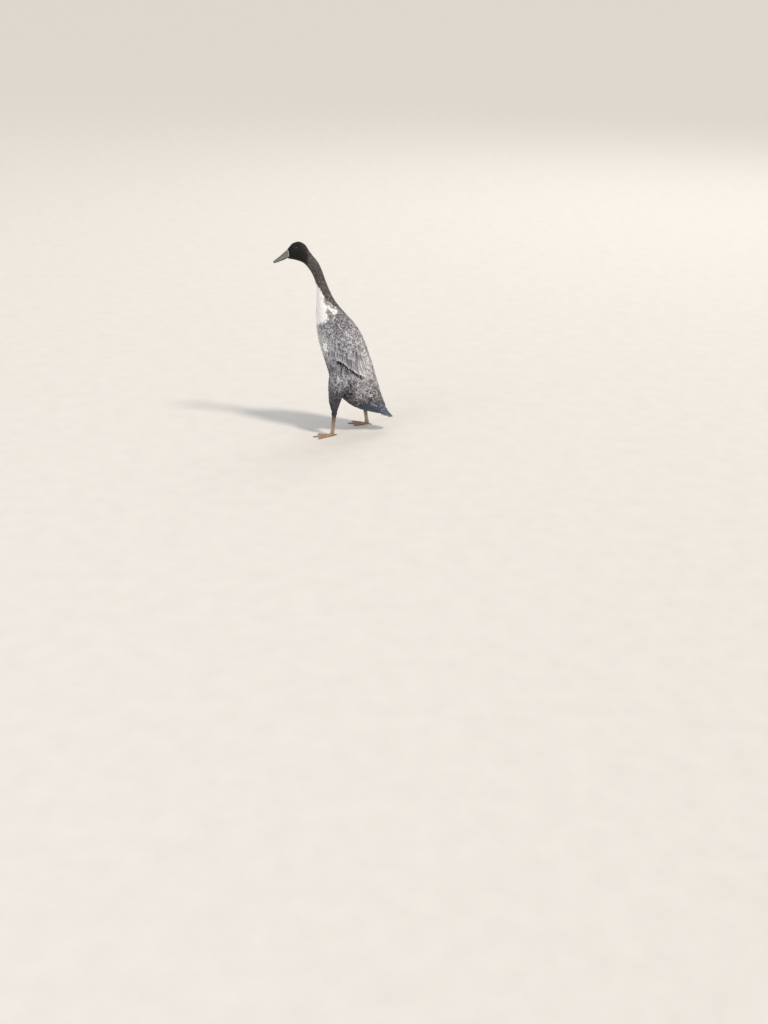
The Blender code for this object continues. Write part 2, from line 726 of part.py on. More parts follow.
def make_foot(side, name, yaw, group):
    heel = heel_of(side)
    pieces = []
    for toe in ("inner", "outer"):
        degrees, length, thick, thin = TOES[toe]
        rings = toe_rings(heel, toe_direction(side, degrees, yaw), length, thick, thin)
        pieces.append(loft("toe", rings, group, "leg"))
    degrees, length, thick, thin = HIND_TOE
    rings = toe_rings(heel, toe_direction(side, degrees, yaw), length, thick, thin,
                     HIND_TOE_RISE)
    pieces.append(loft("toe", rings, group, "leg"))
    pieces.append(web(side, yaw, "inner", "middle", group))
    pieces.append(web(side, yaw, "middle", "outer", group))
    ankle = Vector((heel.x, heel.y, heel.z - GAP))
    foot_top = [
        [ankle + Vector((r * SHANK_FLATNESS * math.cos(a), r * math.sin(a), dz))
         for a in (2 * math.pi * j / 12 for j in range(12))]
        for r, dz in INSTEP
    ]
    pieces.append(loft("instep", foot_top, group, "leg"))
    degrees, length, thick, thin = TOES["middle"]
    rings = toe_rings(heel, toe_direction(side, degrees, yaw), length, thick, thin)
    foot = loft(name, rings, group, "leg")
    combine(foot, pieces, "UNION")
    shape = bmesh.new()
    bmesh.ops.create_cube(shape, size=SOLE_BLOCK)
    bmesh.ops.translate(shape, vec=(heel.x, heel.y, -SOLE_BLOCK / 2), verts=shape.verts)
    mesh = bpy.data.meshes.new("floor_cut")
    shape.to_mesh(mesh)
    shape.free()
    mesh.materials.append(material("leg"))
    floor_cut = bpy.data.objects.new("floor_cut", mesh)
    group.objects.link(floor_cut)
    combine(foot, [floor_cut], "DIFFERENCE")


def make_claws(side, word, yaw, group):
    heel = heel_of(side)
    toes = [*TOES.items(), ("hind", HIND_TOE)]
    for toe, (degrees, length, _, thin) in toes:
        direction = toe_direction(side, degrees, yaw)
        side_way = Vector((-direction.y, direction.x, 0.0))
        start = Vector((heel.x, heel.y, 0.0)) + direction * (length + 2 * GAP)
        radius = min(CLAW_RADIUS, thin * 0.8)
        reach = CLAW_LENGTH * (HIND_CLAW if toe == "hind" else 1.0)
        rings = []
        for i in range(5):
            t = i / 4
            r = radius * (1 - 0.85 * t**1.3)
            height = r + 0.0006 * math.sin(math.pi * t)
            rings.append([
                start + direction * (reach * t) + side_way * (r * math.cos(a))
                + Vector((0, 0, height + r * math.sin(a) * 0.98))
                for a in (2 * math.pi * j / 8 for j in range(8))
            ])
        loft(f"claw_{word}_{toe}", rings, group, "claw")


def centre_on_floor(group):
    """Moves the whole bird so that the middle of its outline is over the origin."""
    points = [v.co for obj in group.objects for v in obj.data.vertices]
    middle = [(min(p[i] for p in points) + max(p[i] for p in points)) / 2 for i in (0, 1)]
    for obj in group.objects:
        obj.data.transform(Matrix.Translation((-middle[0], -middle[1], 0.0)))


def main():
    clear_scene()
    duck = collection("indian_runner_duck")
    torso("torso", duck)
    body_part("neck_lower", NECK_CUT, MID_NECK_CUT, 10, duck, "neck")
    body_part("neck_upper", MID_NECK_CUT, HEAD_CUT, 10, duck, "neck")
    make_head(duck)
    make_bill(duck)
    make_tail(duck)
    for side, word, yaw in ((1, "left", LEFT_TOE_YAW), (-1, "right", RIGHT_TOE_YAW)):
        make_wing(side, f"wing_{word}", duck)
        make_thigh(side, f"thigh_{word}", duck)
        make_shank(side, f"shank_{word}", duck)
        make_foot(side, f"foot_{word}", yaw, duck)
        make_claws(side, word, yaw, duck)
    centre_on_floor(duck)
    for obj in duck.objects:
        obj.data.shade_smooth()
        obj.data.set_sharp_from_angle(angle=math.radians(SHARP_FROM))


main()
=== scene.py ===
import json
import math
from functools import partial

import bpy
import numpy as np
from mathutils import Matrix, Vector, noise
from mathutils.bvhtree import BVHTree

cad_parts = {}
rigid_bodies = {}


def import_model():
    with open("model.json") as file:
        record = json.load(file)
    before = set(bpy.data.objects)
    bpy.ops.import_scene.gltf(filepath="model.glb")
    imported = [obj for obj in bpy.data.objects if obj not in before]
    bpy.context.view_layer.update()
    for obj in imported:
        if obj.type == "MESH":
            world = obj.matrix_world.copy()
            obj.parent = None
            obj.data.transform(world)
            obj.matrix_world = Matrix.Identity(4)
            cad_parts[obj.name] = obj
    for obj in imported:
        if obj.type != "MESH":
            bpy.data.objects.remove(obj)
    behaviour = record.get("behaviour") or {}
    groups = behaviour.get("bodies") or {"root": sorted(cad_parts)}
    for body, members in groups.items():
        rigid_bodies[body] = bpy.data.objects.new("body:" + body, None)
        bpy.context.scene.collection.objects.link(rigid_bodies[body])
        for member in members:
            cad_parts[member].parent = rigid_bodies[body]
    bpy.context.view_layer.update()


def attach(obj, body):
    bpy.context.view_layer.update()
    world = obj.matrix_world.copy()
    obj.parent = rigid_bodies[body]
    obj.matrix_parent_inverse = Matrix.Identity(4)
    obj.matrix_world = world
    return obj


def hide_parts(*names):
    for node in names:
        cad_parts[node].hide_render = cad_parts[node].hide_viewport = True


# Indian Runner duck, walking, left foot forward. Metres, +Z up, the bird faces -Y.
# Shapes are worked out with the middle of the bird at x = 0 and moved onto the frame at the end.

for obj in list(bpy.data.objects):
    bpy.data.objects.remove(obj)
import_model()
dice = np.random.default_rng(11)
onFrame = Matrix.Translation((-0.0033473, 0.0460142, 0.0))


body = {
    # belly side y, z, back side y, z, half width, lean to the back; tail root to bill base
    "stations": np.array([
        (0.0925, 0.0540, 0.108, 0.082, 0.0145, 0.00),
        (0.060, 0.062, 0.0945, 0.118, 0.0325, 0.00),
        (0.030, 0.070, 0.087, 0.145, 0.044, 0.00),
        (-0.004, 0.088, 0.079, 0.176, 0.052, 0.00),
        (-0.034, 0.118, 0.070, 0.207, 0.057, 0.02),
        (-0.0565, 0.158, 0.061, 0.236, 0.0595, 0.04),
        (-0.0695, 0.203, 0.052, 0.264, 0.060, 0.05),
        (-0.083, 0.246, 0.0425, 0.290, 0.059, 0.05),
        (-0.0935, 0.286, 0.029, 0.317, 0.056, 0.05),
        (-0.0995, 0.324, 0.011, 0.343, 0.0515, 0.04),
        (-0.100, 0.357, -0.011, 0.366, 0.044, 0.02),
        (-0.099, 0.389, -0.032, 0.391, 0.035, 0.00),
        (-0.0972, 0.418, -0.048, 0.416, 0.0268, 0.00),
        (-0.0965, 0.444, -0.0595, 0.441, 0.0203, 0.00),
        (-0.1025, 0.472, -0.0695, 0.467, 0.0172, 0.00),
        (-0.1135, 0.496, -0.0795, 0.496, 0.0168, 0.00),
        (-0.1245, 0.511, -0.0905, 0.521, 0.0170, 0.00),
        (-0.1315, 0.5185, -0.1035, 0.538, 0.0174, -0.02),
        (-0.138, 0.5228, -0.1165, 0.5555, 0.0180, -0.05),
        (-0.146, 0.5261, -0.1290, 0.5742, 0.0187, -0.07),
        (-0.1555, 0.5290, -0.1460, 0.5832, 0.0185, -0.06),
        (-0.166, 0.5311, -0.1645, 0.5786, 0.0165, -0.05),
        (-0.1755, 0.5329, -0.1753, 0.5682, 0.0138, -0.05),
        (-0.183, 0.5340, -0.1813, 0.5604, 0.0118, 0.00),
    ]),
    "lastStation": 23.0,
    "roundness": 2.15,  # 2 would make each section an ellipse
    "samples": 461,  # stations tried for the one nearest to a point
}
upward = np.array([0, 0, 1.0])


def along(rows, t):
    # a smooth reading of a table at places t, counted in rows
    rows = np.asarray(rows, float)
    t = np.clip(np.asarray(t, float), 0, len(rows) - 1)
    wide = np.vstack([2 * rows[:1] - rows[1:2], rows, 2 * rows[-1:] - rows[-2:-1]])
    i = np.clip(t.astype(int), 0, len(rows) - 2)
    f = (t - i)[..., None]
    before, a, b, after = (wide[i + k] for k in range(4))
    return a + 0.5 * f * (
        b - before
        + f * (2 * before - 5 * a + 4 * b - after + f * (3 * (a - b) + after - before))
    )


def readings(table, t):
    # straight-line reading of every column of a table whose first column is the place
    table = np.asarray(table, float)
    return [np.interp(t, table[:, 0], table[:, k]) for k in range(1, table.shape[1])]


def smooth(low, high, value):
    t = np.clip((value - low) / (high - low), 0, 1)
    return t * t * (3 - 2 * t)


def unit(vectors):
    return vectors / np.linalg.norm(vectors, axis=-1, keepdims=True)


def pathLength(points):
    return np.linalg.norm(np.diff(points, axis=0), axis=1).sum()


def circle(count):
    return np.linspace(0, 2 * math.pi, count, endpoint=False)


def signedPower(value, power):
    return np.sign(value) * np.abs(value) ** power


def fromBack(degrees):
    # how far round from the back, whichever side
    return np.minimum(degrees % 360, 360 - degrees % 360)


def sections(station):
    # at stations of the body: its middle as y, z, the way from belly to back as y, z,
    # its depth and half width, and its lean
    by, bz, dy, dz, half, lean = np.moveaxis(along(body["stations"], station), -1, 0)
    chord = np.hypot(dy - by, dz - bz)
    return (by + dy) / 2, (bz + dz) / 2, (dy - by) / chord, (dz - bz) / chord, chord, half, lean


def bodyPoint(station, degrees, lift=0.0):
    # degrees run from the back's midline round the left side to the belly at 180
    station, degrees, lift = np.broadcast_arrays(station, degrees, lift)
    y, z, toY, toZ, chord, half, lean = sections(station)
    c, s = (signedPower(f(np.radians(degrees)), 2 / body["roundness"]) for f in (np.cos, np.sin))
    rise = c * (chord / 2 + lift)
    x = s * (half * (1 + lean * c) + lift)
    return np.stack([x, y + toY * rise, z + toZ * rise], -1)


def bodyPlace(points):
    # the station and degrees of points on or near the body
    fine = np.linspace(0, body["lastStation"], body["samples"])
    y, z, toY, toZ, chord, half, _ = sections(fine)
    gap = np.hypot(np.gradient(y), np.gradient(z))
    stations, angles = [], []
    for part in np.array_split(np.asarray(points, float), max(1, len(points) // 4000)):
        oy, oz = part[:, 1:2] - y, part[:, 2:3] - z
        ahead = -toZ * oy + toY * oz
        rise = toY * oy + toZ * oz
        # the section a point lies in, or the nearer one where two of them cross
        best = np.argmin(ahead**2 + 0.05 * rise**2, axis=1)
        pick = np.arange(len(part)), best
        place = fine[best] + np.clip(ahead[pick] / gap[best], -1, 1) * (fine[1] - fine[0])
        c = rise[pick] / (chord[best] / 2)
        s = part[:, 0] / half[best]
        power = body["roundness"] / 2
        angle = np.degrees(np.arctan2(signedPower(s, power), signedPower(c, power)))
        stations.append(np.clip(place, 0, body["lastStation"]))
        angles.append(angle % 360)
    return np.concatenate(stations), np.concatenate(angles)


legs = {
    # middle x, y, z, half depth, half width; flank to hock
    "left": [
        (0.033, -0.022, 0.205, 0.035, 0.013),
        (0.0435, -0.032, 0.160, 0.032, 0.0240),
        (0.0515, -0.0432, 0.118, 0.0202, 0.0160),
        (0.0560, -0.0465, 0.092, 0.0134, 0.0098),
        (0.0565, -0.0465, 0.074, 0.0078, 0.0060),
    ],
    "right": [
        (-0.033, 0.004, 0.190, 0.035, 0.013),
        (-0.0445, 0.018, 0.140, 0.032, 0.0240),
        (-0.054, 0.034, 0.102, 0.0202, 0.0160),
        (-0.0585, 0.0415, 0.082, 0.0134, 0.0098),
        (-0.0590, 0.0430, 0.068, 0.0078, 0.0060),
    ],
    "sides": (("left", 1), ("right", -1)),
}


def thighPoint(side, t, turn, lift=0.0):
    # t runs from 0 in the flank to 4 at the hock, turn in degrees from the outside
    t, turn, lift = np.broadcast_arrays(t, turn, lift)
    x, y, z, depth, width = np.moveaxis(along(legs[side], t), -1, 0)
    a = np.radians(turn)
    return np.stack([x + (width + lift) * np.cos(a), y + (depth + lift) * np.sin(a), z], -1)


foot = {
    # share of the way from hock to heel, radius
    "shankRadii": ((0.0, 0.0077), (0.06, 0.0077), (0.2, 0.0064), (0.5, 0.0058), (0.8, 0.0058),
                   (1.0, 0.0067)),
    "shankFlatness": 0.78,
    # height over the floor, radius, where the shank runs down into the toes
    "instep": ((0.0080, 0.0060), (0.0055, 0.0062), (0.0030, 0.0062), (0.0010, 0.0056)),
    "heel": {"left": (0.0575, -0.0535, 0.0075), "right": (-0.0605, 0.0510, 0.0075)},
    "yaw": {"left": 15.0, "right": 3.0},
    # angle from the middle toe, length, radius at root and tip
    "toes": {
        "inner": (-29.0, 0.041, 0.0036, 0.0023),
        "middle": (0.0, 0.055, 0.0039, 0.0024),
        "outer": (26.0, 0.050, 0.0036, 0.0023),
        "hind": (-160.0, 0.014, 0.0026, 0.0018),
    },
    "hindLift": 0.002,  # how high the hind toe springs from the heel
    "knuckles": (3, 0.13),  # on each toe, and how far they swell it
    "webs": (("inner", "middle"), ("middle", "outer")),
    "webThick": 0.0013,
    "webLift": 0.0004,
    "webReach": 0.97,  # share of the toes that the webs reach
    "webSag": 0.22,
    "webRipples": (9, 0.0004),
    "voxel": 0.0007,
    "smoothing": 3,
    "scute": 0.0030,  # height of a scale on the front of the shank
    "toeScute": 0.0022,  # and on the toes
    "scuteRise": 0.00035,
    "claw": (0.0066, 0.0018, 0.0012),  # length, radius, how far it starts inside the toe
    "clawArch": 0.0009,  # how high its middle rises
    "hindClaw": 0.6,  # share of the others' length
    "toeFlatness": 0.72,  # height of a toe's middle, as a share of its radius
    "toeEnd": (1.04, 0.94),  # shares of a toe between which it rounds off
    # where the plates of the toes lie: how far from a toe's middle line they fade, how far out
    # they start, and how high they may reach; the shank's start between two heights
    "toePlates": (0.0055, 0.0035, 0.004, 0.0085),
    "shankPlates": (0.009, 0.014),
    "webTop": 0.004,  # a web lies lower than this
    "tall": 0.08,  # metres of the shank over which its colour changes
}


wing = {
    # share along the hem of the feather tips, station, degrees from the back
    "hem": np.array([
        (0.0, 6.6, 121), (0.19, 6.25, 101), (0.35, 5.7, 92), (0.47, 5.3, 86),
        (0.57, 4.95, 77), (0.69, 4.5, 71), (0.88, 3.85, 56), (1.0, 3.4, 42), (1.12, 3.6, 29),
    ]),
    "roots": np.array([
        (0.0, 8.3, 103), (0.4, 7.55, 78), (0.75, 6.7, 56), (1.0, 5.9, 38), (1.12, 5.9, 29),
    ]),
    "shoulder": (9.25, 77),
    # height of the flesh under the coverts, from the hem (0) over the roots (1) to the shoulder (2)
    "flesh": [(0.62, 0.0002), (0.75, 0.0012), (1.0, 0.0028), (1.3, 0.0044), (1.65, 0.0042),
              (1.92, 0.0006)],
    "fleshReach": (0.0, 1.1),
    "fleshRoot": -0.008,  # the flesh is closed this deep inside the body
    "roll": 0.075,  # rise across a long feather, towards the belly
    # the outline of what it hides: lowest and highest v, last u
    "hides": (0.22, 1.86, 1.1),
}


def wingPlace(u, v):
    u, v = np.broadcast_arrays(np.asarray(u, float), np.asarray(v, float))
    hem = np.stack(readings(wing["hem"], u), -1)
    root = np.stack(readings(wing["roots"], u), -1)
    low, high = np.clip(v, None, 1)[..., None], np.clip(v - 1, 0, None)[..., None]
    place = hem + (root - hem) * low + (np.array(wing["shoulder"]) - root) * high
    return place[..., 0], place[..., 1]


def underWing(station, degrees):
    # which places of the body lie under a folded wing, whichever side
    degrees = fromBack(degrees)
    low, high, far = wing["hides"]
    up = np.linspace(low, high, 12)
    hem, end, front = (
        wingPlace(u, v) for u, v in ((np.linspace(0, far, 40), low), (far, up), (0.0, up[::-1]))
    )
    px, py = np.hstack([hem, end, front])
    inside = np.zeros(np.shape(station), bool)
    for ax, ay, bx, by in zip(px, py, np.roll(px, -1), np.roll(py, -1)):
        crosses = (ay > degrees) != (by > degrees)
        with np.errstate(divide="ignore", invalid="ignore"):
            inside ^= crosses & (station < (bx - ax) * (degrees - ay) / (by - ay) + ax)
    return inside


def linear(hexColour):
    parts = [int(hexColour[i:i + 2], 16) / 255 for i in (1, 3, 5)]
    return (*(p / 12.92 if p < 0.04045 else ((p + 0.055) / 1.055) ** 2.4 for p in parts), 1.0)


def meshFrom(name, points, quads):
    points, quads = np.asarray(points, np.float32), np.asarray(quads, np.int32)
    mesh = bpy.data.meshes.new(name)
    mesh.vertices.add(len(points))
    mesh.vertices.foreach_set("co", points.ravel())
    mesh.loops.add(quads.size)
    mesh.loops.foreach_set("vertex_index", quads.ravel())
    mesh.polygons.add(len(quads))
    mesh.polygons.foreach_set("loop_start", np.arange(0, quads.size, 4, dtype=np.int32))
    mesh.update(calc_edges=True)
    mesh.shade_smooth()
    made = bpy.data.objects.new(name, mesh)
    bpy.context.scene.collection.objects.link(made)
    return made


def gridQuads(rows, columns, closed):
    # quads between rows of points; closed joins the last column to the first
    a = np.arange(rows - 1)[:, None] * columns
    j = np.arange(columns if closed else columns - 1)[None, :]
    k = (j + 1) % columns
    return np.stack([a + j, a + k, a + columns + k, a + columns + j], -1).reshape(-1, 4)


def loft(name, rings):
    # a closed skin through rings of points, its ends closed by a point in the middle,
    # facing outward whichever way the rings run
    rings = np.asarray(rings, float)
    rows, columns = rings.shape[:2]
    points = np.vstack([rings.reshape(-1, 3), rings[0].mean(0), rings[-1].mean(0)])
    first, last = rows * columns, rows * columns + 1
    j = np.arange(0, columns, 2)
    k, m = (j + 1) % columns, (j + 2) % columns
    top = (rows - 1) * columns
    caps = [np.stack([np.full_like(j, first), m, k, j], -1),
            np.stack([np.full_like(j, last), top + j, top + k, top + m], -1)]
    quads = np.vstack([gridQuads(rows, columns, True), *caps])
    a, b, c, d = (points[quads[:, i]] - points[first] for i in range(4))
    if (np.cross(b, c) * a).sum() + (np.cross(c, d) * a).sum() < 0:
        quads = quads[:, ::-1]
    return meshFrom(name, points, quads)


def baked(obj):
    # applies the modifiers
    bpy.context.view_layer.update()
    graph = bpy.context.evaluated_depsgraph_get()
    mesh = bpy.data.meshes.new_from_object(obj.evaluated_get(graph), depsgraph=graph)
    obj.modifiers.clear()
    obj.data = mesh
    return obj


def joined(name, objects):
    with bpy.context.temp_override(
        active_object=objects[0], object=objects[0], selected_editable_objects=objects,
        selected_objects=objects,
    ):
        bpy.ops.object.join()
    objects[0].name = name
    return objects[0]


def remeshed(obj, voxel, smoothing):
    melt = obj.modifiers.new("melt", "REMESH")
    melt.mode = "VOXEL"
    melt.voxel_size = voxel
    soft = obj.modifiers.new("soft", "SMOOTH")
    soft.factor = 0.5
    soft.iterations = smoothing
    return baked(obj)


def pointsOf(obj, key="co"):
    # an object's points, or their normals
    found = np.empty(len(obj.data.vertices) * 3, np.float32)
    obj.data.vertices.foreach_get(key, found)
    return found.reshape(-1, 3).astype(float)


def setPoints(obj, points):
    obj.data.vertices.foreach_set("co", np.asarray(points, np.float32).ravel())
    obj.data.update()


def paint(obj, name, *columns):
    # keeps up to four numbers for each point, which the materials read
    values = np.zeros((len(obj.data.vertices), 4), np.float32)
    for k, column in enumerate(columns):
        values[:, k] = np.ravel(column)
    obj.data.attributes.new(name, "FLOAT_COLOR", "POINT").data.foreach_set("color", values.ravel())


def waves(points, size, seed=0.0):
    # smooth noise at points, from about -1 to 1, with lumps of a given size in metres
    shift = Vector((seed * 7.1, seed * 3.3, seed * 5.7))
    return np.array([noise.noise(Vector(p) / size + shift) for p in points])


pattern = {
    # front edge of the dark parts: station, degrees; the bib is white beyond it
    "bib": np.array([
        (9.35, 215), (9.6, 165), (9.85, 125), (10.0, 95), (10.3, 72), (10.6, 54), (10.9, 36),
        (11.15, 38), (11.5, 52), (11.9, 66), (12.2, 86), (12.6, 94), (13.0, 102), (13.4, 116),
        (13.85, 150), (14.15, 215),
    ]),
    # how far the lumps of the noise, and each feather, move an edge
    "ragged": {
        "bib": (9.0, 5.0), "flecks": (1.0, 0.3), "bibPatches": (0.5, 0.3), "patch": (0.5, 0.2),
        "nape": (7.0, 3.0), "black": (0.4, 0.25), "slate": (12.0, 9.0),
    },
    # where the back of the bib is flecked with grey: degrees from its edge, shares of the noise,
    # and the stations between which the flecks lie
    "bibFlecks": (10.0, 40.0, -0.10, 0.16),
    "fleckStations": ((9.4, 9.9), (12.7, 11.8)),
    # grey patches in the bib, and a small white one on the breast: station, degrees, half sizes
    "bibPatches": ((11.95, 76, 0.36, 20.0), (10.66, 86, 0.56, 11.0)),
    "patch": (7.86, 136, 0.32, 10.0),
    "patchSides": (0.95, 0.45),  # how white it is on the left and on the right
    # how far round the dark of the neck reaches: a stripe on the nape that ends in a point
    "nape": np.array([
        (9.6, -12), (10.2, 4), (10.86, 25), (11.4, 44), (11.95, 64), (12.2, 84), (12.6, 94),
        (13.0, 103), (13.5, 130), (14.0, 220),
    ]),
    # dark feathers of the rump and vent that run into the tail: station, degrees
    "slate": np.array([
        (0.0, 16), (0.4, 38), (0.9, 58), (1.4, 70), (1.8, 80), (2.2, 90), (2.5, 102), (2.7, 122),
        (2.85, 185), (2.95, 300),
    ]),
    # station, darkness of the grey on the back, the sides and the belly; the belly's darkest
    # values, up to station 4.7, are painted shade under the body
    "greys": np.array([
        (0.0, 0.86, 0.94, 1.05), (1.5, 0.68, 0.78, 1.10), (3.0, 0.64, 0.55, 1.18),
        (3.8, 0.60, 0.50, 1.05), (4.7, 0.53, 0.47, 0.95), (5.6, 0.52, 0.53, 0.74),
        (6.6, 0.53, 0.51, 0.56), (8.0, 0.51, 0.45, 0.20), (9.4, 0.64, 0.64, 0.20),
        (10.4, 0.68, 0.70, 0.46), (11.2, 0.66, 0.66, 0.58), (16.0, 0.64, 0.64, 0.64),
        (23.0, 0.62, 0.62, 0.62),
    ]),
    # height over the floor, darkness of the leg feathers, darker down to the hock: partly painted
    # shade under the body
    "legGreys": np.array([(0.080, 1.0), (0.115, 1.0), (0.145, 0.80), (0.190, 0.54)]),
    "mottling": (0.07, 0.14, 0.20),  # broad clouds, lumps of a few feathers, single feathers
    # the dark feathers of the vent: station, least darkness, and their share of the mottling;
    # the darkness that grows towards the belly is painted shade in the crease under it
    "slateDepth": np.array([(0.0, 0.74), (0.9, 0.84), (1.5, 0.96), (2.0, 1.05)]),
    "slateCalm": 0.75,
    # painted sunlight, paler feathers along the lower back: station, degrees, half sizes, how pale
    "pale": (5.2, 40, 1.9, 24.0, 0.18),
    # size of the clouds, of the lumps over the body and of those up the neck
    "lumps": (0.034, 0.0075, 0.0050),
    # painted shadow on the flank feathers under the front of the wing's hem: how dark, how far up
    # their roots are, how far that spreads, in stations, and the degrees from which and to which it
    # runs
    "hemShade": (1.0, -0.24, 0.24, (62, 72), (118, 104)),
    # the stations over which the neck turns into the black head, at the nape,
    # and how much lower the black reaches for each degree towards the throat
    "black": (18.1, 19.2, 0.0117),
}


def isSlate(station, around, ragged):
    return around + ragged > np.interp(station, *pattern["slate"].T)


def markingsAt(points, stray, onWing=False):
    # white, black, brown and the darkness of the grey, which holds painted shade and sunlight,
    # at points of the bird; stray is a number from -1 to 1 for each, so that each feather is its
    # own
    station, degrees = bodyPlace(points)
    around = fromBack(degrees)
    cloud, lump, small = pattern["lumps"]
    broad = waves(points, cloud, 2.0)
    lumps = np.where(station < 11, waves(points, lump, 1.0), waves(points, small, 1.0))

    def ragged(edge):
        byLump, byFeather = pattern["ragged"][edge]
        return byLump * lumps + byFeather * stray

    def away(s, d, halfS, halfD):
        return np.hypot((station - s) / halfS, (around - d) / halfD)

    edge = np.interp(station, *pattern["bib"].T)
    white = smooth(-2.0, 2.0, around - edge + ragged("bib"))
    # grey flecks come through near the edge of the bib
    close, off, few, many = pattern["bibFlecks"]
    near = smooth(off, close, around - edge)
    for low, high in pattern["fleckStations"]:
        near = near * smooth(low, high, station)
    white = white * (1 - 0.9 * near * smooth(few, many, ragged("flecks")))
    for patch in pattern["bibPatches"]:
        white = white * (1 - 0.92 * smooth(1.2, 0.8, away(*patch) + ragged("bibPatches")))
    spot = smooth(1.15, 0.75, away(*pattern["patch"]) + ragged("patch"))
    white = np.maximum(white, np.where(points[:, 0] > 0, *pattern["patchSides"]) * spot)
    nape = np.interp(station, *pattern["nape"].T) - around + ragged("nape")
    brown = smooth(-3.0, 5.0, nape)
    start, full, lower = pattern["black"]
    black = smooth(start, full, station + ragged("black") + lower * around)
    # the belly column darkens the underside with painted shade under the body
    back, side, belly = readings(pattern["greys"], station)
    grey = np.where(
        around < 90, back + (side - back) * around / 90, side + (belly - side) * (around / 90 - 1)
    )
    # painted shadow cast by the wing's hem on the flank below it
    deep, start, far, upper, lower = pattern["hemShade"]
    if not onWing:
        below = np.interp(around, wing["hem"][::-1, 2], wing["hem"][::-1, 1]) - station
        front = smooth(*upper, around) * smooth(*lower, around)
        grey = grey + deep * front * np.exp(-((below - start) / far) ** 2)
    # painted sunlight: the lower back made paler
    *place, lighter = pattern["pale"]
    grey = grey - lighter * smooth(1.0, 0.3, away(*place))
    slate = isSlate(station, around, ragged("slate"))
    # slate feathers, darkest towards the belly with painted shade in the crease there
    grey = np.where(slate, np.maximum(grey, np.interp(station, *pattern["slateDepth"].T)), grey)
    # leg feathers darken towards the hock, partly with painted shade under the body
    for side, _ in legs["sides"]:
        path = np.array(legs[side])[::-1]
        x, y, depth, width = (np.interp(points[:, 2], path[:, 2], path[:, k]) for k in (0, 1, 3, 4))
        off = np.hypot((points[:, 0] - x) / width, (points[:, 1] - y) / depth)
        onLeg = smooth(1.7, 1.2, off) * (points[:, 2] < pattern["legGreys"][-1, 0])
        legGrey = np.interp(points[:, 2], *pattern["legGreys"].T)
        grey = grey + (legGrey - grey) * onLeg
        white = white * (1 - onLeg)
    clouds, few, single = pattern["mottling"]
    calm = np.where(slate, pattern["slateCalm"], 1.0)
    grey = grey + calm * (clouds * broad + few * lumps + single * stray)
    return np.stack([white, black, brown * (1 - white), np.clip(grey, 0, 1)], -1)


flesh = {
    "voxel": 0.0016,
    "smoothing": 5,
    # station, depth of the coat over the skin
    "coatDepth": np.array([(0, 0.0020), (9, 0.0024), (12, 0.0017), (16, 0.0010), (18, 0.0007),
                           (23, 0.0004)]),
    "thighDepth": 0.0016,
    "shankTaper": (0.002, 0.016),  # how far the thigh's flesh runs on inside the shank
    "unevenness": ((0.030, 0.0009), (0.012, 0.0004)),  # size and height of the body's lumps
}


def makeSkin():
    stations = np.linspace(0, body["lastStation"], 300)
    turns = np.arange(0, 360, 3.0)
    lift = -readings(flesh["coatDepth"], stations)[0]
    pieces = [loft("body", bodyPoint(stations[:, None], turns[None, :], lift[:, None]))]
    for side, sign in legs["sides"]:
        t = np.linspace(0, 4, 60)
        rings = thighPoint(side, t[:, None], turns[None, ::2], -flesh["thighDepth"])
        # the flesh tapers on inside the top of the shank
        shank = rings[-1:] - upward * np.linspace(*flesh["shankTaper"], 8)[:, None, None]
        pieces.append(loft("thigh", np.concatenate([rings, shank])[::-1]))
        v = np.linspace(wing["flesh"][0][0], wing["flesh"][-1][0], 26)[:, None]
        u = np.linspace(*wing["fleshReach"], 40)[None, :]
        height = np.interp(v, *np.array(wing["flesh"]).T)
        # lower towards the front and the back of the wing
        rim = 0.2 + 0.8 * np.sin(np.pi * (0.05 + 0.9 * u / wing["fleshReach"][1])) ** 0.5
        outer = bodyPoint(*wingPlace(u, v), height * rim)
        inner = bodyPoint(*wingPlace(u, v), wing["fleshRoot"])
        rings = np.concatenate([outer, inner[:, ::-1]], axis=1)
        rings[..., 0] *= sign
        pieces.append(loft("pad", rings))
    skin = remeshed(joined("skin", pieces), flesh["voxel"], flesh["smoothing"])
    points, normals = pointsOf(skin), pointsOf(skin, "normal")
    station, _ = bodyPlace(points)
    calm = smooth(14.0, 9.0, station)
    for size, height in flesh["unevenness"]:
        points += normals * (height * waves(points, size, 4.0) * calm)[:, None]
    setPoints(skin, points)
    return skin


skin = makeSkin()
skinPoints = pointsOf(skin)
skinFaces = [tuple(p.vertices) for p in skin.data.polygons]
skinTree = BVHTree.FromPolygons([Vector(p) for p in skinPoints], skinFaces)
print("skin:", len(skinFaces), "faces")


feathers = {
    # rows and columns of points (odd, the quill is the middle one), width at the quill's root,
    # where a feather is widest, and how square its tip is
    "vent_coat": (12, 5, 0.5, 0.55, 0.05),
    "body": (9, 5, 0.5, 0.55, 0.05),
    "neck_coat": (7, 3, 0.5, 0.55, 0.05),
    "head_coat": (5, 3, 0.5, 0.55, 0.05),
    "thigh": (8, 5, 0.5, 0.55, 0.05),
    "cuff": (7, 5, 0.6, 0.5, 0.05),
    "primaries": (16, 7, 0.7, 0.30, 0.10),
    "tertials": (16, 7, 0.6, 0.55, 0.08),
    "secondaries": (18, 7, 0.7, 0.72, 0.10),
    "covert": (13, 7, 0.6, 0.60, 0.05),
    "quills": (20, 7, 0.7, 0.74, 0.10),
    "tailCovert": (13, 5, 0.6, 0.55, 0.05),
}


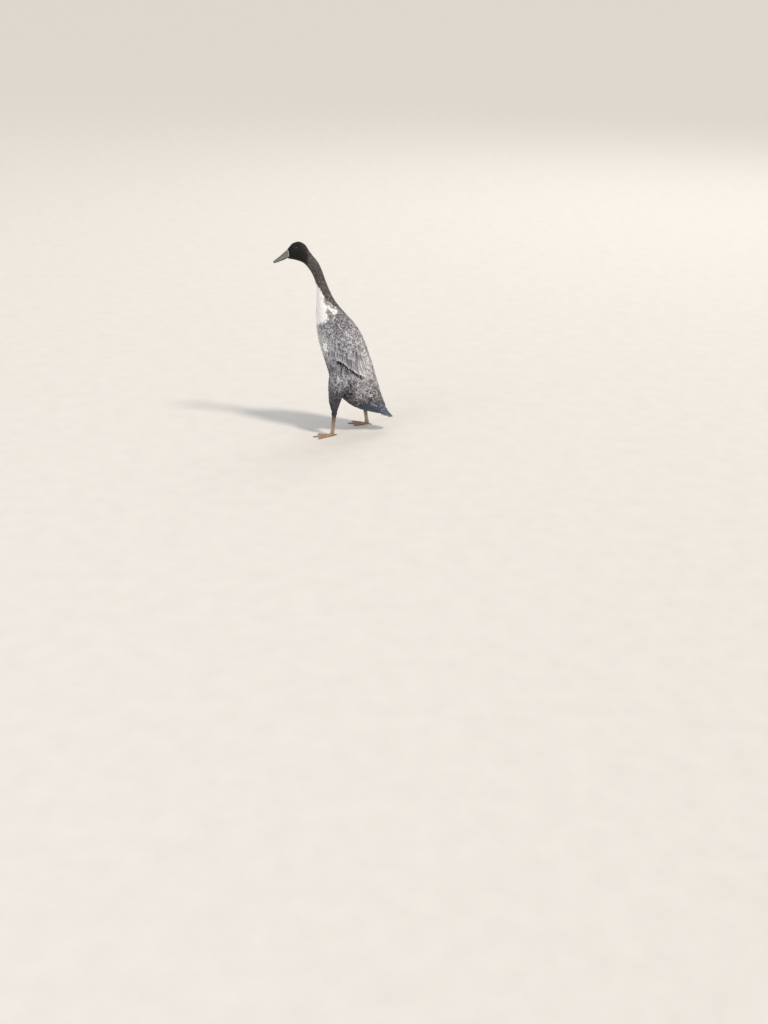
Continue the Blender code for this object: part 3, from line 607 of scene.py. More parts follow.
def vane(kind):
    # one feather as a closed lens
    rows, columns, neck, widest, tip = feathers[kind]
    t = 1 - (1 - np.linspace(0, 1, rows)) ** 1.35
    spread = neck + (1 - neck) * smooth(0, widest, t)
    beyond = np.clip((t - widest) / (1.0 - widest), 0, 1)
    spread = spread * np.clip(1 - beyond ** 2.4, tip, None) ** 0.5
    x = np.linspace(-1, 1, columns)
    across = np.concatenate([x, [0.0]])
    height = np.concatenate([1 - np.abs(x) ** 1.6, [-0.35]])
    width = columns + 1
    a = np.arange(rows - 1)[:, None] * width
    j = np.arange(columns - 1)[None, :]
    top = np.stack([a + j, a + width + j, a + width + j + 1, a + j + 1], -1).reshape(-1, 4)
    a = a[:, 0]
    last = columns - 1
    under = [np.stack([a + last, a + width + last, a + width + columns, a + columns], -1),
             np.stack([a + columns, a + width + columns, a + width, a], -1)]
    caps = []
    for base, flip in ((0, 1), ((rows - 1) * width, -1)):
        for i in range(0, last, 2):
            caps.append([base + i, base + i + 1, base + i + 2, base + columns][::flip])
    return {
        "t": t, "spread": spread, "across": across, "height": height,
        "quads": np.vstack([top, *under, np.array(caps)]),
    }


def nearestSkin(point):
    return skinTree.find_nearest(point)[:2]


def walkOnSkin(root, way, length, halfWidth, steps):
    # goes along the skin from a root, and feels out to both sides
    spot, normal = nearestSkin(Vector(root))
    way = Vector(way)
    path = []
    for _ in range(steps + 1):
        way = (way - normal * way.dot(normal)).normalized()
        side = normal.cross(way)
        left, _ = nearestSkin(spot + side * halfWidth)
        right, _ = nearestSkin(spot - side * halfWidth)
        path.append((*spot, *left, *right, *normal))
        spot, normal = nearestSkin(spot + way * (length / steps))
    return path


def gathered(grid, place):
    # reads grids (feather, step, number) at fractional steps (feather, row, column)
    low = np.clip(place.astype(int), 0, grid.shape[1] - 2)
    f = (place - low)[..., None]
    pick = np.arange(grid.shape[0])[:, None, None]
    return grid[pick, low] * (1 - f) + grid[pick, low + 1] * f


edges = {
    "split": 0.07,  # share of the rows that are split at their edge, and how deep
    "splitDepth": (0.15, 0.4),
    "whole": 3,  # rows from the root that never are
    "pointed": (0.72, 1.08),  # how much narrower or wider than the rest a tip is
    "crease": 55,  # degrees between faces that show as an edge
    "patch": (0.0015, 0.003),  # half width and length of a feather on the map of its piece
}


def featherGrid(shape, count, ragged):
    # each feather's own t and across at every point, with uneven edges and a few splits
    rows, width = len(shape["t"]), len(shape["across"])
    t = np.broadcast_to(shape["t"][None, :, None], (count, rows, width)).copy()
    x = np.broadcast_to(shape["across"][None, None, :], (count, rows, width)).copy()
    outer = np.abs(shape["across"]) ** 2
    wobble = dice.normal(0, ragged, (count, rows, 2))
    split = dice.random((count, rows, 2)) < edges["split"]
    split = split * dice.uniform(*edges["splitDepth"], (count, rows, 2))
    split[:, :edges["whole"]] = 0
    own = np.where(shape["across"] < 0, 0, 1)
    x = x * (1 + (wobble - split)[:, :, own] * outer)
    pointed = dice.uniform(*edges["pointed"], (count, 1, 1))
    x = x * (1 + (pointed - 1) * smooth(0.45, 1.0, t))
    t = t + dice.normal(0, ragged * 0.25, (count, rows, width)) * outer * (t > 0.2) * (t < 0.97)
    return np.clip(t, 0, 1), x * shape["spread"][None, :, None]


def featherMesh(name, points, shape, t, x, lengths, halves, spots, at, stray, onWing=False):
    # joins the feathers of a piece into one mesh, with what their materials read. Each takes its
    # markings from one point, at, and strays from them by up to a share of its own
    count, rows, width = t.shape
    seeds = dice.random(count)
    marks = markingsAt(at, (seeds * 2 - 1) * stray, onWing)
    per = rows * width
    quads = (shape["quads"][None] + np.arange(count)[:, None, None] * per).reshape(-1, 4)
    made = meshFrom(name, points.reshape(-1, 3), quads)
    made.data.set_sharp_from_angle(angle=math.radians(edges["crease"]))
    share = np.abs(np.broadcast_to(shape["across"], t.shape))
    # barbs leave the quill at a slant, so their phase is the way along less the way across
    barb = (t * lengths[:, None, None] - np.abs(x) * halves[:, None, None]) * 1000
    seed = np.broadcast_to(seeds[:, None, None], t.shape)
    paint(made, "vane", t, share, barb, seed)
    paint(made, "marking", *np.repeat(marks, per, axis=0).T)
    # each feather is a small patch at its root's place on the unwrapped skin
    patch = np.stack([x, t], -1) * edges["patch"] + spots[:, None, None, :]
    corners = patch.reshape(-1, 2)[quads.ravel()]
    layer = made.data.uv_layers.new(name="OFBake")
    layer.data.foreach_set("uv", corners.astype(np.float32).ravel())
    print(f"{name}: {count} feathers, {2 * len(quads)} triangles")
    return made


def skinFeathers(name, shape, roots, ways, sizes, spots, ragged, steps=4):
    # sizes holds each feather's length, half width, height of root and tip, ridge and roll
    lengths, halves, low, high, ridge, roll = sizes.T
    paths = np.array([
        walkOnSkin(r, w, length, half, steps)
        for r, w, length, half in zip(roots, ways, lengths, halves)
    ])
    t, x = featherGrid(shape, len(roots), ragged)
    read = gathered(paths, t * steps)
    middle, left, right, normal = (read[..., i:i + 3] for i in (0, 3, 6, 9))
    reach = x[..., None]
    points = middle + reach * (left - right) / 2 + reach**2 * ((left + right) / 2 - middle)
    lift = low[:, None, None] + (high - low)[:, None, None] * smooth(-0.5, 1.35, t) * 1.25
    lift = lift + ridge[:, None, None] * shape["height"] + roll[:, None, None] * x
    points = points + normal * lift[..., None]
    return featherMesh(name, points, shape, t, x, lengths, halves, spots, roots, 1.0)


coat = {
    # station, then spacing along, length, width, height of the tips and of the quills, in mm
    "sizes": np.array([
        (0.0, 3.4, 13, 6.6, 1.1, 0.22),
        (1.5, 4.1, 16, 8.2, 1.4, 0.26),
        (4.0, 4.6, 18, 9.6, 1.6, 0.28),
        (7.0, 4.2, 16, 8.6, 1.5, 0.26),
        (9.5, 3.6, 13, 7.2, 1.4, 0.24),
        (11.0, 3.0, 10.5, 5.8, 1.25, 0.22),
        (13.0, 2.5, 8.4, 4.7, 1.05, 0.18),
        (16.0, 2.25, 7.0, 4.0, 0.85, 0.15),
        (18.0, 2.0, 5.6, 3.3, 0.65, 0.12),
        (20.5, 1.75, 4.4, 2.7, 0.5, 0.10),
        (23.0, 1.35, 2.8, 1.9, 0.34, 0.08),
    ]),
    "pieces": (
        # name, first and last station
        ("vent_coat", 0.0, 2.7),
        ("rear_coat", 0.0, 3.1),
        ("belly_coat", 3.1, 6.0),
        ("flank_coat", 6.0, 8.4),
        ("breast_coat", 8.4, 10.6),
        ("neck_coat", 10.6, 16.6),
        ("head_coat", 16.6, 23.0),
    ),
    "overlap": (0.60, 0.86),  # shares of the width and of the spacing from root to root
    "jitter": 0.22,
    "least": (0.004, 8),  # metres a station may count for, feathers in a row
    "margin": 0.02,  # stations that roots keep from both ends of the body
    "sunk": -0.0004,  # height of the roots
    "spread": (0.09, 0.07, 0.12, 0.06),  # how uneven lengths, widths, tips and rolls are
    "turn": 0.09,  # how far feathers turn from the lie of the rest
    "ragged": 0.05,  # how uneven their edges are
    "slateStray": 9,  # degrees by which they mix with the slate ones
    "buried": 0.0035,  # a place this far from the skin lies under a thigh
    # the slate feathers of the vent are longer and narrower: shares of the sizes above,
    # and the most that one reaches past the end of the body
    "vent": (2.3, 0.72, 0.010),
}
# the bill's base runs back on the sides of the face as far as this: degrees, station
bare = np.array([
    (0, 23.3), (24, 23.0), (45, 22.5), (70, 22.2), (95, 22.05), (118, 22.12), (135, 22.45),
    (155, 22.85), (180, 23.3),
])
eye = {
    "radius": 0.0055,
    "spot": np.array([0.01625, -0.15634, 0.56649]),
    "look": np.array([0.97684, -0.09946, 0.18946]),
    "bulge": 0.0016,
    "cornea": 0.05,
    "bare": 0.0056,  # no feathers nearer to the middle of the eye than this
}


def rowOfRoots(at, row, ring, width, spacing, fewest):
    # one row of places round the body or a leg, each a little off its even place
    count = max(fewest, int(pathLength(ring) / (width * coat["overlap"][0])))
    turns = (np.arange(count) + 0.5 * (row % 2)) * 360 / count
    jitter = dice.uniform(-coat["jitter"], coat["jitter"], (2, count))
    return list(zip(at + jitter[0] * spacing, turns + jitter[1] * 360 / count))


def bodyRoots(first, last):
    # staggered rows of places, closer where the feathers are smaller
    station, row, places = last - coat["margin"], 0, []
    least, fewest = coat["least"]
    while station > first:
        spacing, _, width = (v / 1000 for v in readings(coat["sizes"], station)[:3])
        ring = bodyPoint(station, np.arange(0, 361, 5.0))
        gap = np.linalg.norm(bodyPoint(station, 90.0) - bodyPoint(station - 0.1, 90.0)) * 10
        spacing = spacing / max(gap, least)
        places += rowOfRoots(station, row, ring, width, spacing, fewest)
        station -= spacing * coat["overlap"][1]
        row += 1
    return np.array(places)


def turned(ways, spread):
    # directions turned a little from each other, as feathers lie
    side = unit(np.cross(ways, dice.normal(0, 1, ways.shape)))
    return ways + side * dice.normal(0, spread, len(ways))[:, None]


def varied(length, width, tip, quill, spread):
    # what skinFeathers takes as sizes, a little different for each feather
    n = len(length)
    byLength, byWidth, byTip, roll = spread
    return np.stack([
        length * dice.normal(1, byLength, n), width / 2 * dice.normal(1, byWidth, n),
        np.full(n, coat["sunk"]), tip * dice.normal(1, byTip, n), quill,
        dice.normal(0, roll, n) * width,
    ], -1)


def onMap(spots):
    # places spread over the map that a piece's colours are kept on
    return 0.01 + 0.97 * (spots - spots.min(0)) / np.ptp(spots, axis=0)


def bodyCoat(name, first, last):
    places = bodyRoots(first, last)
    places = places[~underWing(*places.T)]
    stray = dice.normal(0, coat["slateStray"], len(places))
    slate = isSlate(places[:, 0], fromBack(places[:, 1]), stray)
    places = places[slate if name == "vent_coat" else ~slate]
    if name == "head_coat":
        places = places[places[:, 0] < np.interp(fromBack(places[:, 1]), *bare.T)]
    station, degrees = places.T
    station = np.clip(station, coat["margin"], body["lastStation"] - coat["margin"])
    aim = bodyPoint(station, degrees, -readings(flesh["coatDepth"], station)[0])
    roots = np.array([nearestSkin(Vector(p))[0] for p in aim])
    seen = np.linalg.norm(roots - aim, axis=1) < coat["buried"]
    eyes = eye["spot"] * np.where(roots[:, :1] < 0, (-1, 1, 1), (1, 1, 1))
    seen &= np.linalg.norm(roots - eyes, axis=1) > eye["bare"]
    station, degrees, roots = station[seen], degrees[seen], roots[seen]
    ways = unit(bodyPoint(station - 0.1, degrees) - bodyPoint(station + 0.1, degrees))
    ways = turned(ways, coat["turn"])
    _, length, width, tip, quill = (v / 1000 for v in readings(coat["sizes"], station))
    if name == "vent_coat":
        longer, narrower, past = coat["vent"]
        toEnd = np.linalg.norm(roots - bodyPoint(0.0, degrees), axis=1)
        length, width = np.minimum(length * longer, toEnd + past), width * narrower
    sizes = varied(length, width, tip, quill, coat["spread"])
    spots = onMap(np.stack([degrees / 360, station / body["lastStation"]], -1))
    shape = vane(name if name in feathers else "body")
    return skinFeathers(name, shape, roots, ways, sizes, spots, coat["ragged"])


finish = {name: bodyCoat(name, first, last) for name, first, last in coat["pieces"]}


thighCoat = {
    # t down the leg, then spacing, length, width, height of tips and quills, in mm
    "sizes": np.array([
        (0.0, 4.4, 17, 9.0, 1.6, 0.26), (1.5, 4.0, 15, 8.2, 1.6, 0.26),
        (2.6, 3.2, 12, 6.4, 1.3, 0.22), (3.3, 2.6, 10, 4.8, 1.1, 0.18),
        (4.0, 2.1, 7.5, 3.6, 0.9, 0.15),
    ]),
    "reach": (0.3, 3.95),
    "ends": (0.05, 3.97),  # no root lies beyond these
    "fewest": 7,  # feathers in a row
    "buried": 0.003,
    "backward": 0.22,  # how far the feathers slant to the tail
    "spread": (0.10, 0.08, 0.15, 0.06),
    "turn": 0.1,
    "ragged": 0.06,
    # a cuff over the top of the shank: rows as start and end down the leg, heights over its skin
    "cuff": ((-0.006, 0.0055, 0.0002, 0.0010), (-0.004, 0.0085, 0.0000, 0.0006)),
    "cuffFeather": (13, 0.0046, 0.0076),  # how many, their width, and the radius they bend to
    "cuffLens": 0.00018,
    "cuffSpread": (3, 0.15),  # how uneven their turns, in degrees, and their lengths are
}


def shankRing(radius, angle):
    # offsets round the shank, which is narrower from side to side
    return np.stack([
        radius * foot["shankFlatness"] * np.cos(angle), radius * np.sin(angle), 0 * radius * angle
    ], -1)


def cuff(side):
    # short feathers from the end of the thigh over the top of the shank
    hock, heel = np.array(legs[side][-1][:3]), np.array(foot["heel"][side])
    down, far = unit(heel - hock), np.linalg.norm(heel - hock)
    count, width, bend = thighCoat["cuffFeather"]
    shape, pieces = vane("cuff"), []
    byTurn, byLength = thighCoat["cuffSpread"]
    for row, (start, end, low, high) in enumerate(thighCoat["cuff"]):
        turn = (np.arange(count) + 0.5 * row) * 360 / count + dice.normal(0, byTurn, count)
        turn = np.radians(turn)
        t, x = featherGrid(shape, count, thighCoat["ragged"])
        ends = (end * dice.normal(1, byLength, count))[:, None, None]
        run = start + (ends - start) * t
        radius = readings(foot["shankRadii"], np.clip(run / far, 0, 1))[0]
        radius = radius + low + (high - low) * t + thighCoat["cuffLens"] * shape["height"]
        angle = turn[:, None, None] + x * width / 2 / bend
        points = hock + down * run[..., None] + shankRing(radius, angle)
        spots = np.stack([turn / 7 % 0.98, np.full(count, 0.98)], -1)
        lengths, halves = np.full(count, end - start), np.full(count, width / 2)
        pieces.append(featherMesh(
            "cuff", points, shape, t, x, lengths, halves, spots, points[:, 0, 0], 0.5,
        ))
    return pieces


def makeThighCoat(side):
    t, last = thighCoat["reach"]
    row, places = 0, []
    while t < last:
        spacing, _, width = (v / 1000 for v in readings(thighCoat["sizes"], t)[:3])
        ring = thighPoint(side, t, np.arange(0, 361, 10.0))
        gap = np.linalg.norm(thighPoint(side, t + 0.05, 0) - thighPoint(side, t - 0.05, 0)) * 10
        places += rowOfRoots(t, row, ring, width, spacing / gap, thighCoat["fewest"])
        t += spacing / gap * coat["overlap"][1]
        row += 1
    t, turns = np.array(places).T
    t = np.clip(t, *thighCoat["ends"])
    aim = thighPoint(side, t, turns, -flesh["thighDepth"])
    roots = np.array([nearestSkin(Vector(p))[0] for p in aim])
    seen = np.linalg.norm(roots - aim, axis=1) < thighCoat["buried"]
    t, turns, roots = t[seen], turns[seen], roots[seen]
    ways = unit(thighPoint(side, t + 0.05, turns) - thighPoint(side, t - 0.05, turns))
    ways = ways + (0, thighCoat["backward"], 0)
    sizes = (v / 1000 for v in readings(thighCoat["sizes"], t)[1:])
    sizes = varied(*sizes, thighCoat["spread"])
    spots = onMap(np.stack([turns, t], -1))
    name = f"thigh_coat_{side}"
    ways = turned(ways, thighCoat["turn"])
    shape, ragged = vane("thigh"), thighCoat["ragged"]
    made = skinFeathers(name, shape, roots, ways, sizes, spots, ragged)
    return joined(name, [made, *cuff(side)])


wingCoat = {
    # height of the coverts over the body, in mm, from the lower wing to the shoulder
    "cover": np.array([
        (0.45, 3.6), (0.7, 4.7), (0.9, 5.5), (1.3, 6.0), (1.6, 5.2), (1.85, 3.0), (2.0, 1.2),
    ]),
    # rows of small feathers over the arm: first and last v, rows, reach of u; in front of the
    # next u every other row is enough
    "lesser": (1.94, 0.80, 24, (-0.07, 1.13)),
    "sparse": 0.42,
    "lesserWidth": 0.00062,  # from root to root, for each mm of width
    "lesserSpread": (0.012, 0.09, 0.00025, 0.06),  # of places, lengths, tips and slopes
    "lesserSlope": 0.04,  # rise across a feather
    # v, length, width in mm
    "lesserSizes": np.array([(0.8, 19, 10.5), (1.2, 17, 9.4), (1.6, 14.5, 8.2), (1.94, 12, 6.8)]),
    # tiers from the flesh to the tips: name, count, first and last u, root and tip v,
    # height of root and tip over the body, width, height added at the tips in front (mm)
    "tiers": (
        ("primaries", 5, 0.86, 1.03, 0.86, -0.13, 1.4, 0.9, 9.5, 0.0),
        ("secondaries", 17, 0.01, 1.0, 0.92, 0.00, 2.4, 1.6, 15.0, 3.0),
        ("greater", 16, 0.01, 0.86, 1.15, 0.40, 4.3, 3.1, 14.5, 2.0),
        ("median", 18, 0.01, 0.88, 1.22, 0.66, 4.9, 4.5, 12.5, 1.1),
        ("tertials", 6, 0.80, 1.09, 1.30, 0.10, 4.9, 3.2, 16.0, 0.0),
        ("scapulars", 8, 0.72, 1.10, 1.36, 0.52, 5.3, 5.0, 13.5, 0.0),
    ),
    # rows over the wing's upper edge: u, height in mm, slope across each feather
    "mantle": ((1.16, 2.4, 0.24), (1.10, 3.9, 0.26), (1.03, 5.5, 0.12)),
    "mantleSizes": (20.0, 12.0, 5.6),  # length, width and spacing, in mm
    "mantleReach": (1.86, 0.45, 0.02),  # first and last v, and how much later each row starts
    "mantleSpread": (0.02, 0.1, 0.0002, 0.08),  # of places, lengths, tips and widths
    # how far under the coverts' height roots lie, and how far over it tips do
    "lesserLift": (0.0017, 0.0006),
    "mantleLift": (0.0018, 0.0004),
    "tierSpread": (0.004, 0.018, 0.05, 0.00012),  # of u, v, widths and tips
    "ragged": (0.035, 0.05),  # how uneven the edges of long and of small feathers are
    "lens": (0.00042, 0.0003),  # how thick a feather is, and how far its edges bend down
}


def wingFeathers(name, shape, u, rootV, tipV, low, high, width, sign, ragged, slope):
    # feathers laid on the body by their place on the folded wing
    t, x = featherGrid(shape, len(u), ragged)
    u, rootV, tipV, low, high, half = (
        a[:, None, None] for a in (u, rootV, tipV, low, high, width / 2)
    )
    station, degrees = wingPlace(u, rootV + (tipV - rootV) * t)
    step = bodyPoint(station, degrees + 1) - bodyPoint(station, degrees)
    degrees = degrees + x * half / np.linalg.norm(step, axis=-1)
    thick, bend = wingCoat["lens"]
    lift = low + (high - low) * t + slope * x * half + thick * shape["height"] - bend * x**2
    points = bodyPoint(station, degrees, lift)
    points[..., 0] *= sign
    ends = points[:, [0, -1], len(shape["across"]) // 2]
    lengths = np.linalg.norm(ends[:, 0] - ends[:, 1], axis=1)
    spots = np.stack([(u[:, 0, 0] + 0.1) / 1.4, np.clip(rootV[:, 0, 0] / 2, 0, 1)], -1)
    middle = points[:, len(shape["t"]) // 2, 0]
    return featherMesh(
        name, points, shape, t, x, lengths, width / 2, spots, middle, 0.8, onWing=True,
    )


def perV(u, v):
    # metres along the wing for one unit of v
    here, there = (bodyPoint(*wingPlace(u, v + d)) for d in (-0.02, 0.02))
    return np.linalg.norm(there - here, axis=-1) / 0.04


def wingEdge(u):
    # the wing is thin at its front edge and where it passes under the mantle
    return (0.30 + 0.70 * smooth(-0.08, 0.14, u)) * (1 - 0.40 * smooth(0.98, 1.13, u))


def lesserCoverts(sign):
    # small feathers in rows over the arm, laid like the body's
    first, last, rows, (front, back) = wingCoat["lesser"]
    byPlace, byLength, byTip, bySlope = wingCoat["lesserSpread"]
    places = []
    for row, v in enumerate(np.linspace(first, last, rows)):
        _, width = readings(wingCoat["lesserSizes"], v)
        edge = bodyPoint(*wingPlace(np.linspace(front, back, 30), v))
        count = max(4, int(pathLength(edge) / (width * wingCoat["lesserWidth"])))
        u = front + (back - front) * (np.arange(count) + 0.25 + 0.5 * (row % 2)) / count
        u = u[(u > wingCoat["sparse"]) | (row % 2 == 0)]
        offU, offV = dice.normal(0, byPlace, (2, len(u)))
        places += list(zip(u + offU, v + offV))
    u, v = np.array(places).T
    n = len(u)
    length, width = readings(wingCoat["lesserSizes"], v)
    length = length * (0.86 + 0.22 * u) / 1000 * dice.normal(1, byLength, n)
    tips = v - length / perV(u, v)
    low, high = (np.interp(a, *wingCoat["cover"].T) / 1000 * wingEdge(u) for a in (v, tips))
    under, over = wingCoat["lesserLift"]
    high = high + over + dice.normal(0, byTip, n)
    slope = dice.normal(wingCoat["lesserSlope"], bySlope, (n, 1, 1))
    return wingFeathers(
        "lesser", vane("body"), u, v, tips, low - under, high, width / 1000, sign,
        wingCoat["ragged"][1], slope,
    )


def mantle(sign):
    # feathers of the back that lap over the wing's upper edge
    length, width, spacing = (a / 1000 for a in wingCoat["mantleSizes"])
    first, last, later = wingCoat["mantleReach"]
    byPlace, byLength, byTip, byWidth = wingCoat["mantleSpread"]
    under, over = wingCoat["mantleLift"]
    pieces = []
    for row, (u, height, slope) in enumerate(wingCoat["mantle"]):
        v, places = first + later * row, []
        while v > last:
            places.append(v)
            v -= spacing / perV(u, v)
        v = np.array(places)
        n = len(v)
        u = u + dice.normal(0, byPlace, n)
        tips = v - length * dice.normal(1, byLength, n) / perV(u, v)
        height = height / 1000 * smooth(2.05, 1.5, v)
        tall = height + over + dice.normal(0, byTip, n)
        wide = width * dice.normal(1, byWidth, n)
        pieces.append(wingFeathers(
            "mantle", vane("body"), u, v, tips, height - under, tall, wide, sign,
            wingCoat["ragged"][1], slope,
        ))
    return pieces


def makeWing(side, sign):
    byU, byV, byWidth, byTip = wingCoat["tierSpread"]
    pieces = []
    for name, count, first, last, rootV, tipV, low, high, width, raised in wingCoat["tiers"]:
        u = np.linspace(first, last, count) + dice.normal(0, byU, count)
        tips = tipV + dice.normal(0, byV, count)
        if name == "primaries":
            # the outer ones reach further
            tips = tips - 0.05 * np.arange(count)[::-1] / count + 0.1 * np.linspace(0, 1, count)
        widths = width / 1000 * dice.normal(1, byWidth, count)
        edge = wingEdge(u)
        highs = high / 1000 * edge + raised / 1000 * smooth(0.60, 0.15, u)
        highs = highs + dice.normal(0, byTip, count)
        shape = vane(name if name in feathers else "covert")
        pieces.append(wingFeathers(
            name, shape, u, np.full(count, rootV), tips, low / 1000 * edge, highs, widths, sign,
            wingCoat["ragged"][0], wing["roll"],
        ))
    pieces += [lesserCoverts(sign), *mantle(sign)]
    return joined(f"wing_coat_{side}", pieces)


tail = {
    "root": (0.080, 0.092),
    "slope": 43.5,  # degrees it drops from level
    "arch": 52.0,  # degrees from the middle feathers round to the outermost
    "step": 0.00075,  # from one feather of the fan to the next
    "lens": 0.0004,
    "flatten": 5.0,  # share of its turn that a feather loses for each metre along
    "shorten": 0.50,  # how much shorter than the middle feathers the outermost are
    "spread": (0.8, 0.04, 0.02),  # how uneven turns, in degrees, widths and lengths are
    "ragged": 0.03,
    # name, pairs, rows; root and tip as (along, height of the middle one, radius), width; side
    "rows": (
        ("quills", 7, (0.012, 0.0040, 0.016), (0.0715, 0.0015, 0.050), 12.0, 1),
        ("over1", 6, (0.004, 0.0085, 0.020), (0.0500, 0.0040, 0.037), 11.0, 1),
        ("over2", 6, (-0.002, 0.0115, 0.021), (0.0420, 0.0065, 0.035), 10.5, 1),
        ("over3", 6, (-0.008, 0.0145, 0.022), (0.0340, 0.0095, 0.033), 10.0, 1),
        ("over4", 5, (-0.012, 0.0165, 0.023), (0.0260, 0.0125, 0.031), 9.5, 1),
        ("under1", 5, (0.012, -0.0100, 0.020), (0.0560, -0.0045, 0.039), 11.0, -1),
        ("under2", 5, (0.008, -0.0155, 0.022), (0.0480, -0.0085, 0.038), 11.0, -1),
        ("under3", 5, (0.002, -0.0190, 0.022), (0.0400, -0.0120, 0.035), 10.5, -1),
        ("under4", 4, (-0.004, -0.0215, 0.022), (0.0320, -0.0155, 0.032), 10.0, -1),
    ),
}


def makeTail():
    slope = math.radians(tail["slope"])
    down = np.array([0, math.cos(slope), -math.sin(slope)])
    up = np.array([0, math.sin(slope), math.cos(slope)])
    sideways = np.array([1.0, 0, 0])
    widest = tail["rows"][0][1] - 0.5
    byTurn, byWidth, byLength = tail["spread"]
    pieces = []
    for name, pairs, root, tip, width, face in tail["rows"]:
        # each pair lies a step under the last; one middle feather lies over the other
        fan = [(i, sign) for i in range(pairs) for sign in (1, -1)]
        turn = np.array([sign * tail["arch"] * (i + 0.5) / widest for i, sign in fan])
        drop = np.array([face * tail["step"] * (i + (i > 0 or sign < 0)) for i, sign in fan])
        n = len(turn)
        turn = turn + dice.normal(0, byTurn, n)
        shape = vane(name if name in feathers else "tailCovert")
        t, x = featherGrid(shape, n, tail["ragged"])
        half = width / 2000 * dice.normal(1, byWidth, n)
        share = 1 - tail["shorten"] * (turn / tail["arch"]) ** 2 + dice.normal(0, byLength, n)
        far, across = t[..., None], (x * half[:, None, None])[..., None]
        reach, level, radius = (p + (q - p) * far for p, q in zip(root, tip))
        a = np.radians(turn)[:, None, None, None] * (1 - tail["flatten"] * reach)
        out = sideways * np.sin(a) + up * np.cos(a)
        top = tail["lens"] * face * (shape["height"][:, None] - x[..., None] ** 2)
        reach = reach * (1 + (share[:, None, None, None] - 1) * far)
        points = np.array([0, *tail["root"]]) + down * reach
        points = points + up * (level - radius) + out * (radius - drop[:, None, None, None] + top)
        points = points + (sideways * np.cos(a) - up * np.sin(a)) * across
        lengths = np.full(n, tip[0] - root[0])
        spots = np.stack([0.5 + turn / 130, np.full(n, 0.1 + 0.12 * len(pieces))], -1)
        shape["quads"] = shape["quads"][:, ::face]
        pieces.append(featherMesh(
            name, points, shape, t, x, lengths, half, spots, points[:, 3, 0], 0.6,
        ))
    return joined("tail_coat", pieces)


for side, sign in legs["sides"]:
    finish[f"thigh_coat_{side}"] = makeThighCoat(side)
    finish[f"wing_coat_{side}"] = makeWing(side, sign)
finish["tail_coat"] = makeTail()


bill = {
    # share of the length, culmen y, z, mouth line y, z, underside y, z, half width
    "rows": np.array([
        (0.00, -0.1816, 0.5599, -0.1827, 0.5385, -0.1830, 0.5344, 0.0112),
        (0.20, -0.1895, 0.5527, -0.1890, 0.5352, -0.1905, 0.5308, 0.0108),
        (0.42, -0.1985, 0.5446, -0.1968, 0.5320, -0.1985, 0.5278, 0.0106),
        (0.62, -0.2075, 0.5373, -0.2055, 0.5282, -0.2065, 0.5248, 0.0113),
        (0.80, -0.2155, 0.5311, -0.2130, 0.5250, -0.2135, 0.5222, 0.0120),
        (0.92, -0.2205, 0.5270, -0.2185, 0.5228, -0.2185, 0.5206, 0.0106),
        (1.00, -0.2240, 0.5242, -0.2228, 0.5212, -0.2215, 0.5198, 0.0050),
    ]),
    # share of the half width and of the height, from the mouth's edge to the culmen
    "upper": np.array([(0.94, 0.0), (1.0, 0.10), (1.0, 0.25), (0.86, 0.54), (0.56, 0.86),
                       (0.24, 0.99), (0.0, 1.01)]),
    "lower": np.array([(0.95, 0.0), (0.97, 0.25), (0.88, 0.60), (0.45, 0.98), (0.0, 1.0)]),
    "lowerShare": 0.86,
    "gap": 0.0005,
    # share along, height share, half length, half height, depth, height of its lip
    "nostril": (0.27, 0.66, 0.0031, 0.0010, 0.0013, 0.00010),
    "nail": (0.87, 0.56, 0.00030),  # starts at this share, half width share, height
    # ridges along the mouth: spacing, how far they stand out, shares between which they run
    "comb": (0.0012, 0.00025, (0.12, 0.2), (0.86, 0.78)),
    "samples": (190, 26, 15),  # rings, points of half an outline, points of the inside
    "inside": {"upper": 0.10, "lower": 0.15},  # how far the inside is hollowed
    # the lobes on the face: width of their margin in stations, its depth, their height,
    # and the share of the bill over which they run out
    "lobe": (0.14, -0.0010, 0.0001, 0.36),
    "lobeTurns": (12, 158),  # degrees from the back between which they lie
}


def billSection(share):
    # culmen, mouth line and underside as y, z, and half width, at shares of the length
    rows = bill["rows"]
    table = along(rows[:, 1:], np.interp(share, rows[:, 0], np.arange(len(rows))))
    return table[..., 0:2], table[..., 2:4], table[..., 4:6], table[..., 6]


def billRings(part, share):
    # rings from the left edge of the mouth round the outside and back along the inside
    profile, (_, samples, inside) = bill[part], bill["samples"]
    culmen, mouth, under, half = billSection(share)
    end = culmen if part == "upper" else under
    side = along(profile, np.linspace(0, len(profile) - 1, samples))
    outer = np.vstack([side, side[-2::-1] * (-1, 1)])
    w = np.linspace(-0.9, 0.9, inside)
    back = np.stack([w * profile[0][0], bill["inside"][part] * (1 - (w / 0.95) ** 2)], -1)
    ring = np.vstack([outer, back])
    yz = mouth[:, None] + (end - mouth)[:, None] * ring[None, :, 1:]
    x = half[:, None] * ring[None, :, 0]
    return loft(f"bill_sheath_{part}", np.concatenate([x[..., None], yz], -1)), ring


def billSurface(share, height):
    # points on the left side of the upper bill: share along, height from the mouth to the culmen
    culmen, mouth, _, half = billSection(share)
    profile = along(bill["upper"], np.linspace(0, len(bill["upper"]) - 1, 60))
    wide = np.interp(height, profile[:, 1], profile[:, 0])
    yz = mouth + (culmen - mouth) * height[..., None]
    return np.concatenate([(half * wide)[..., None], yz], -1), wide


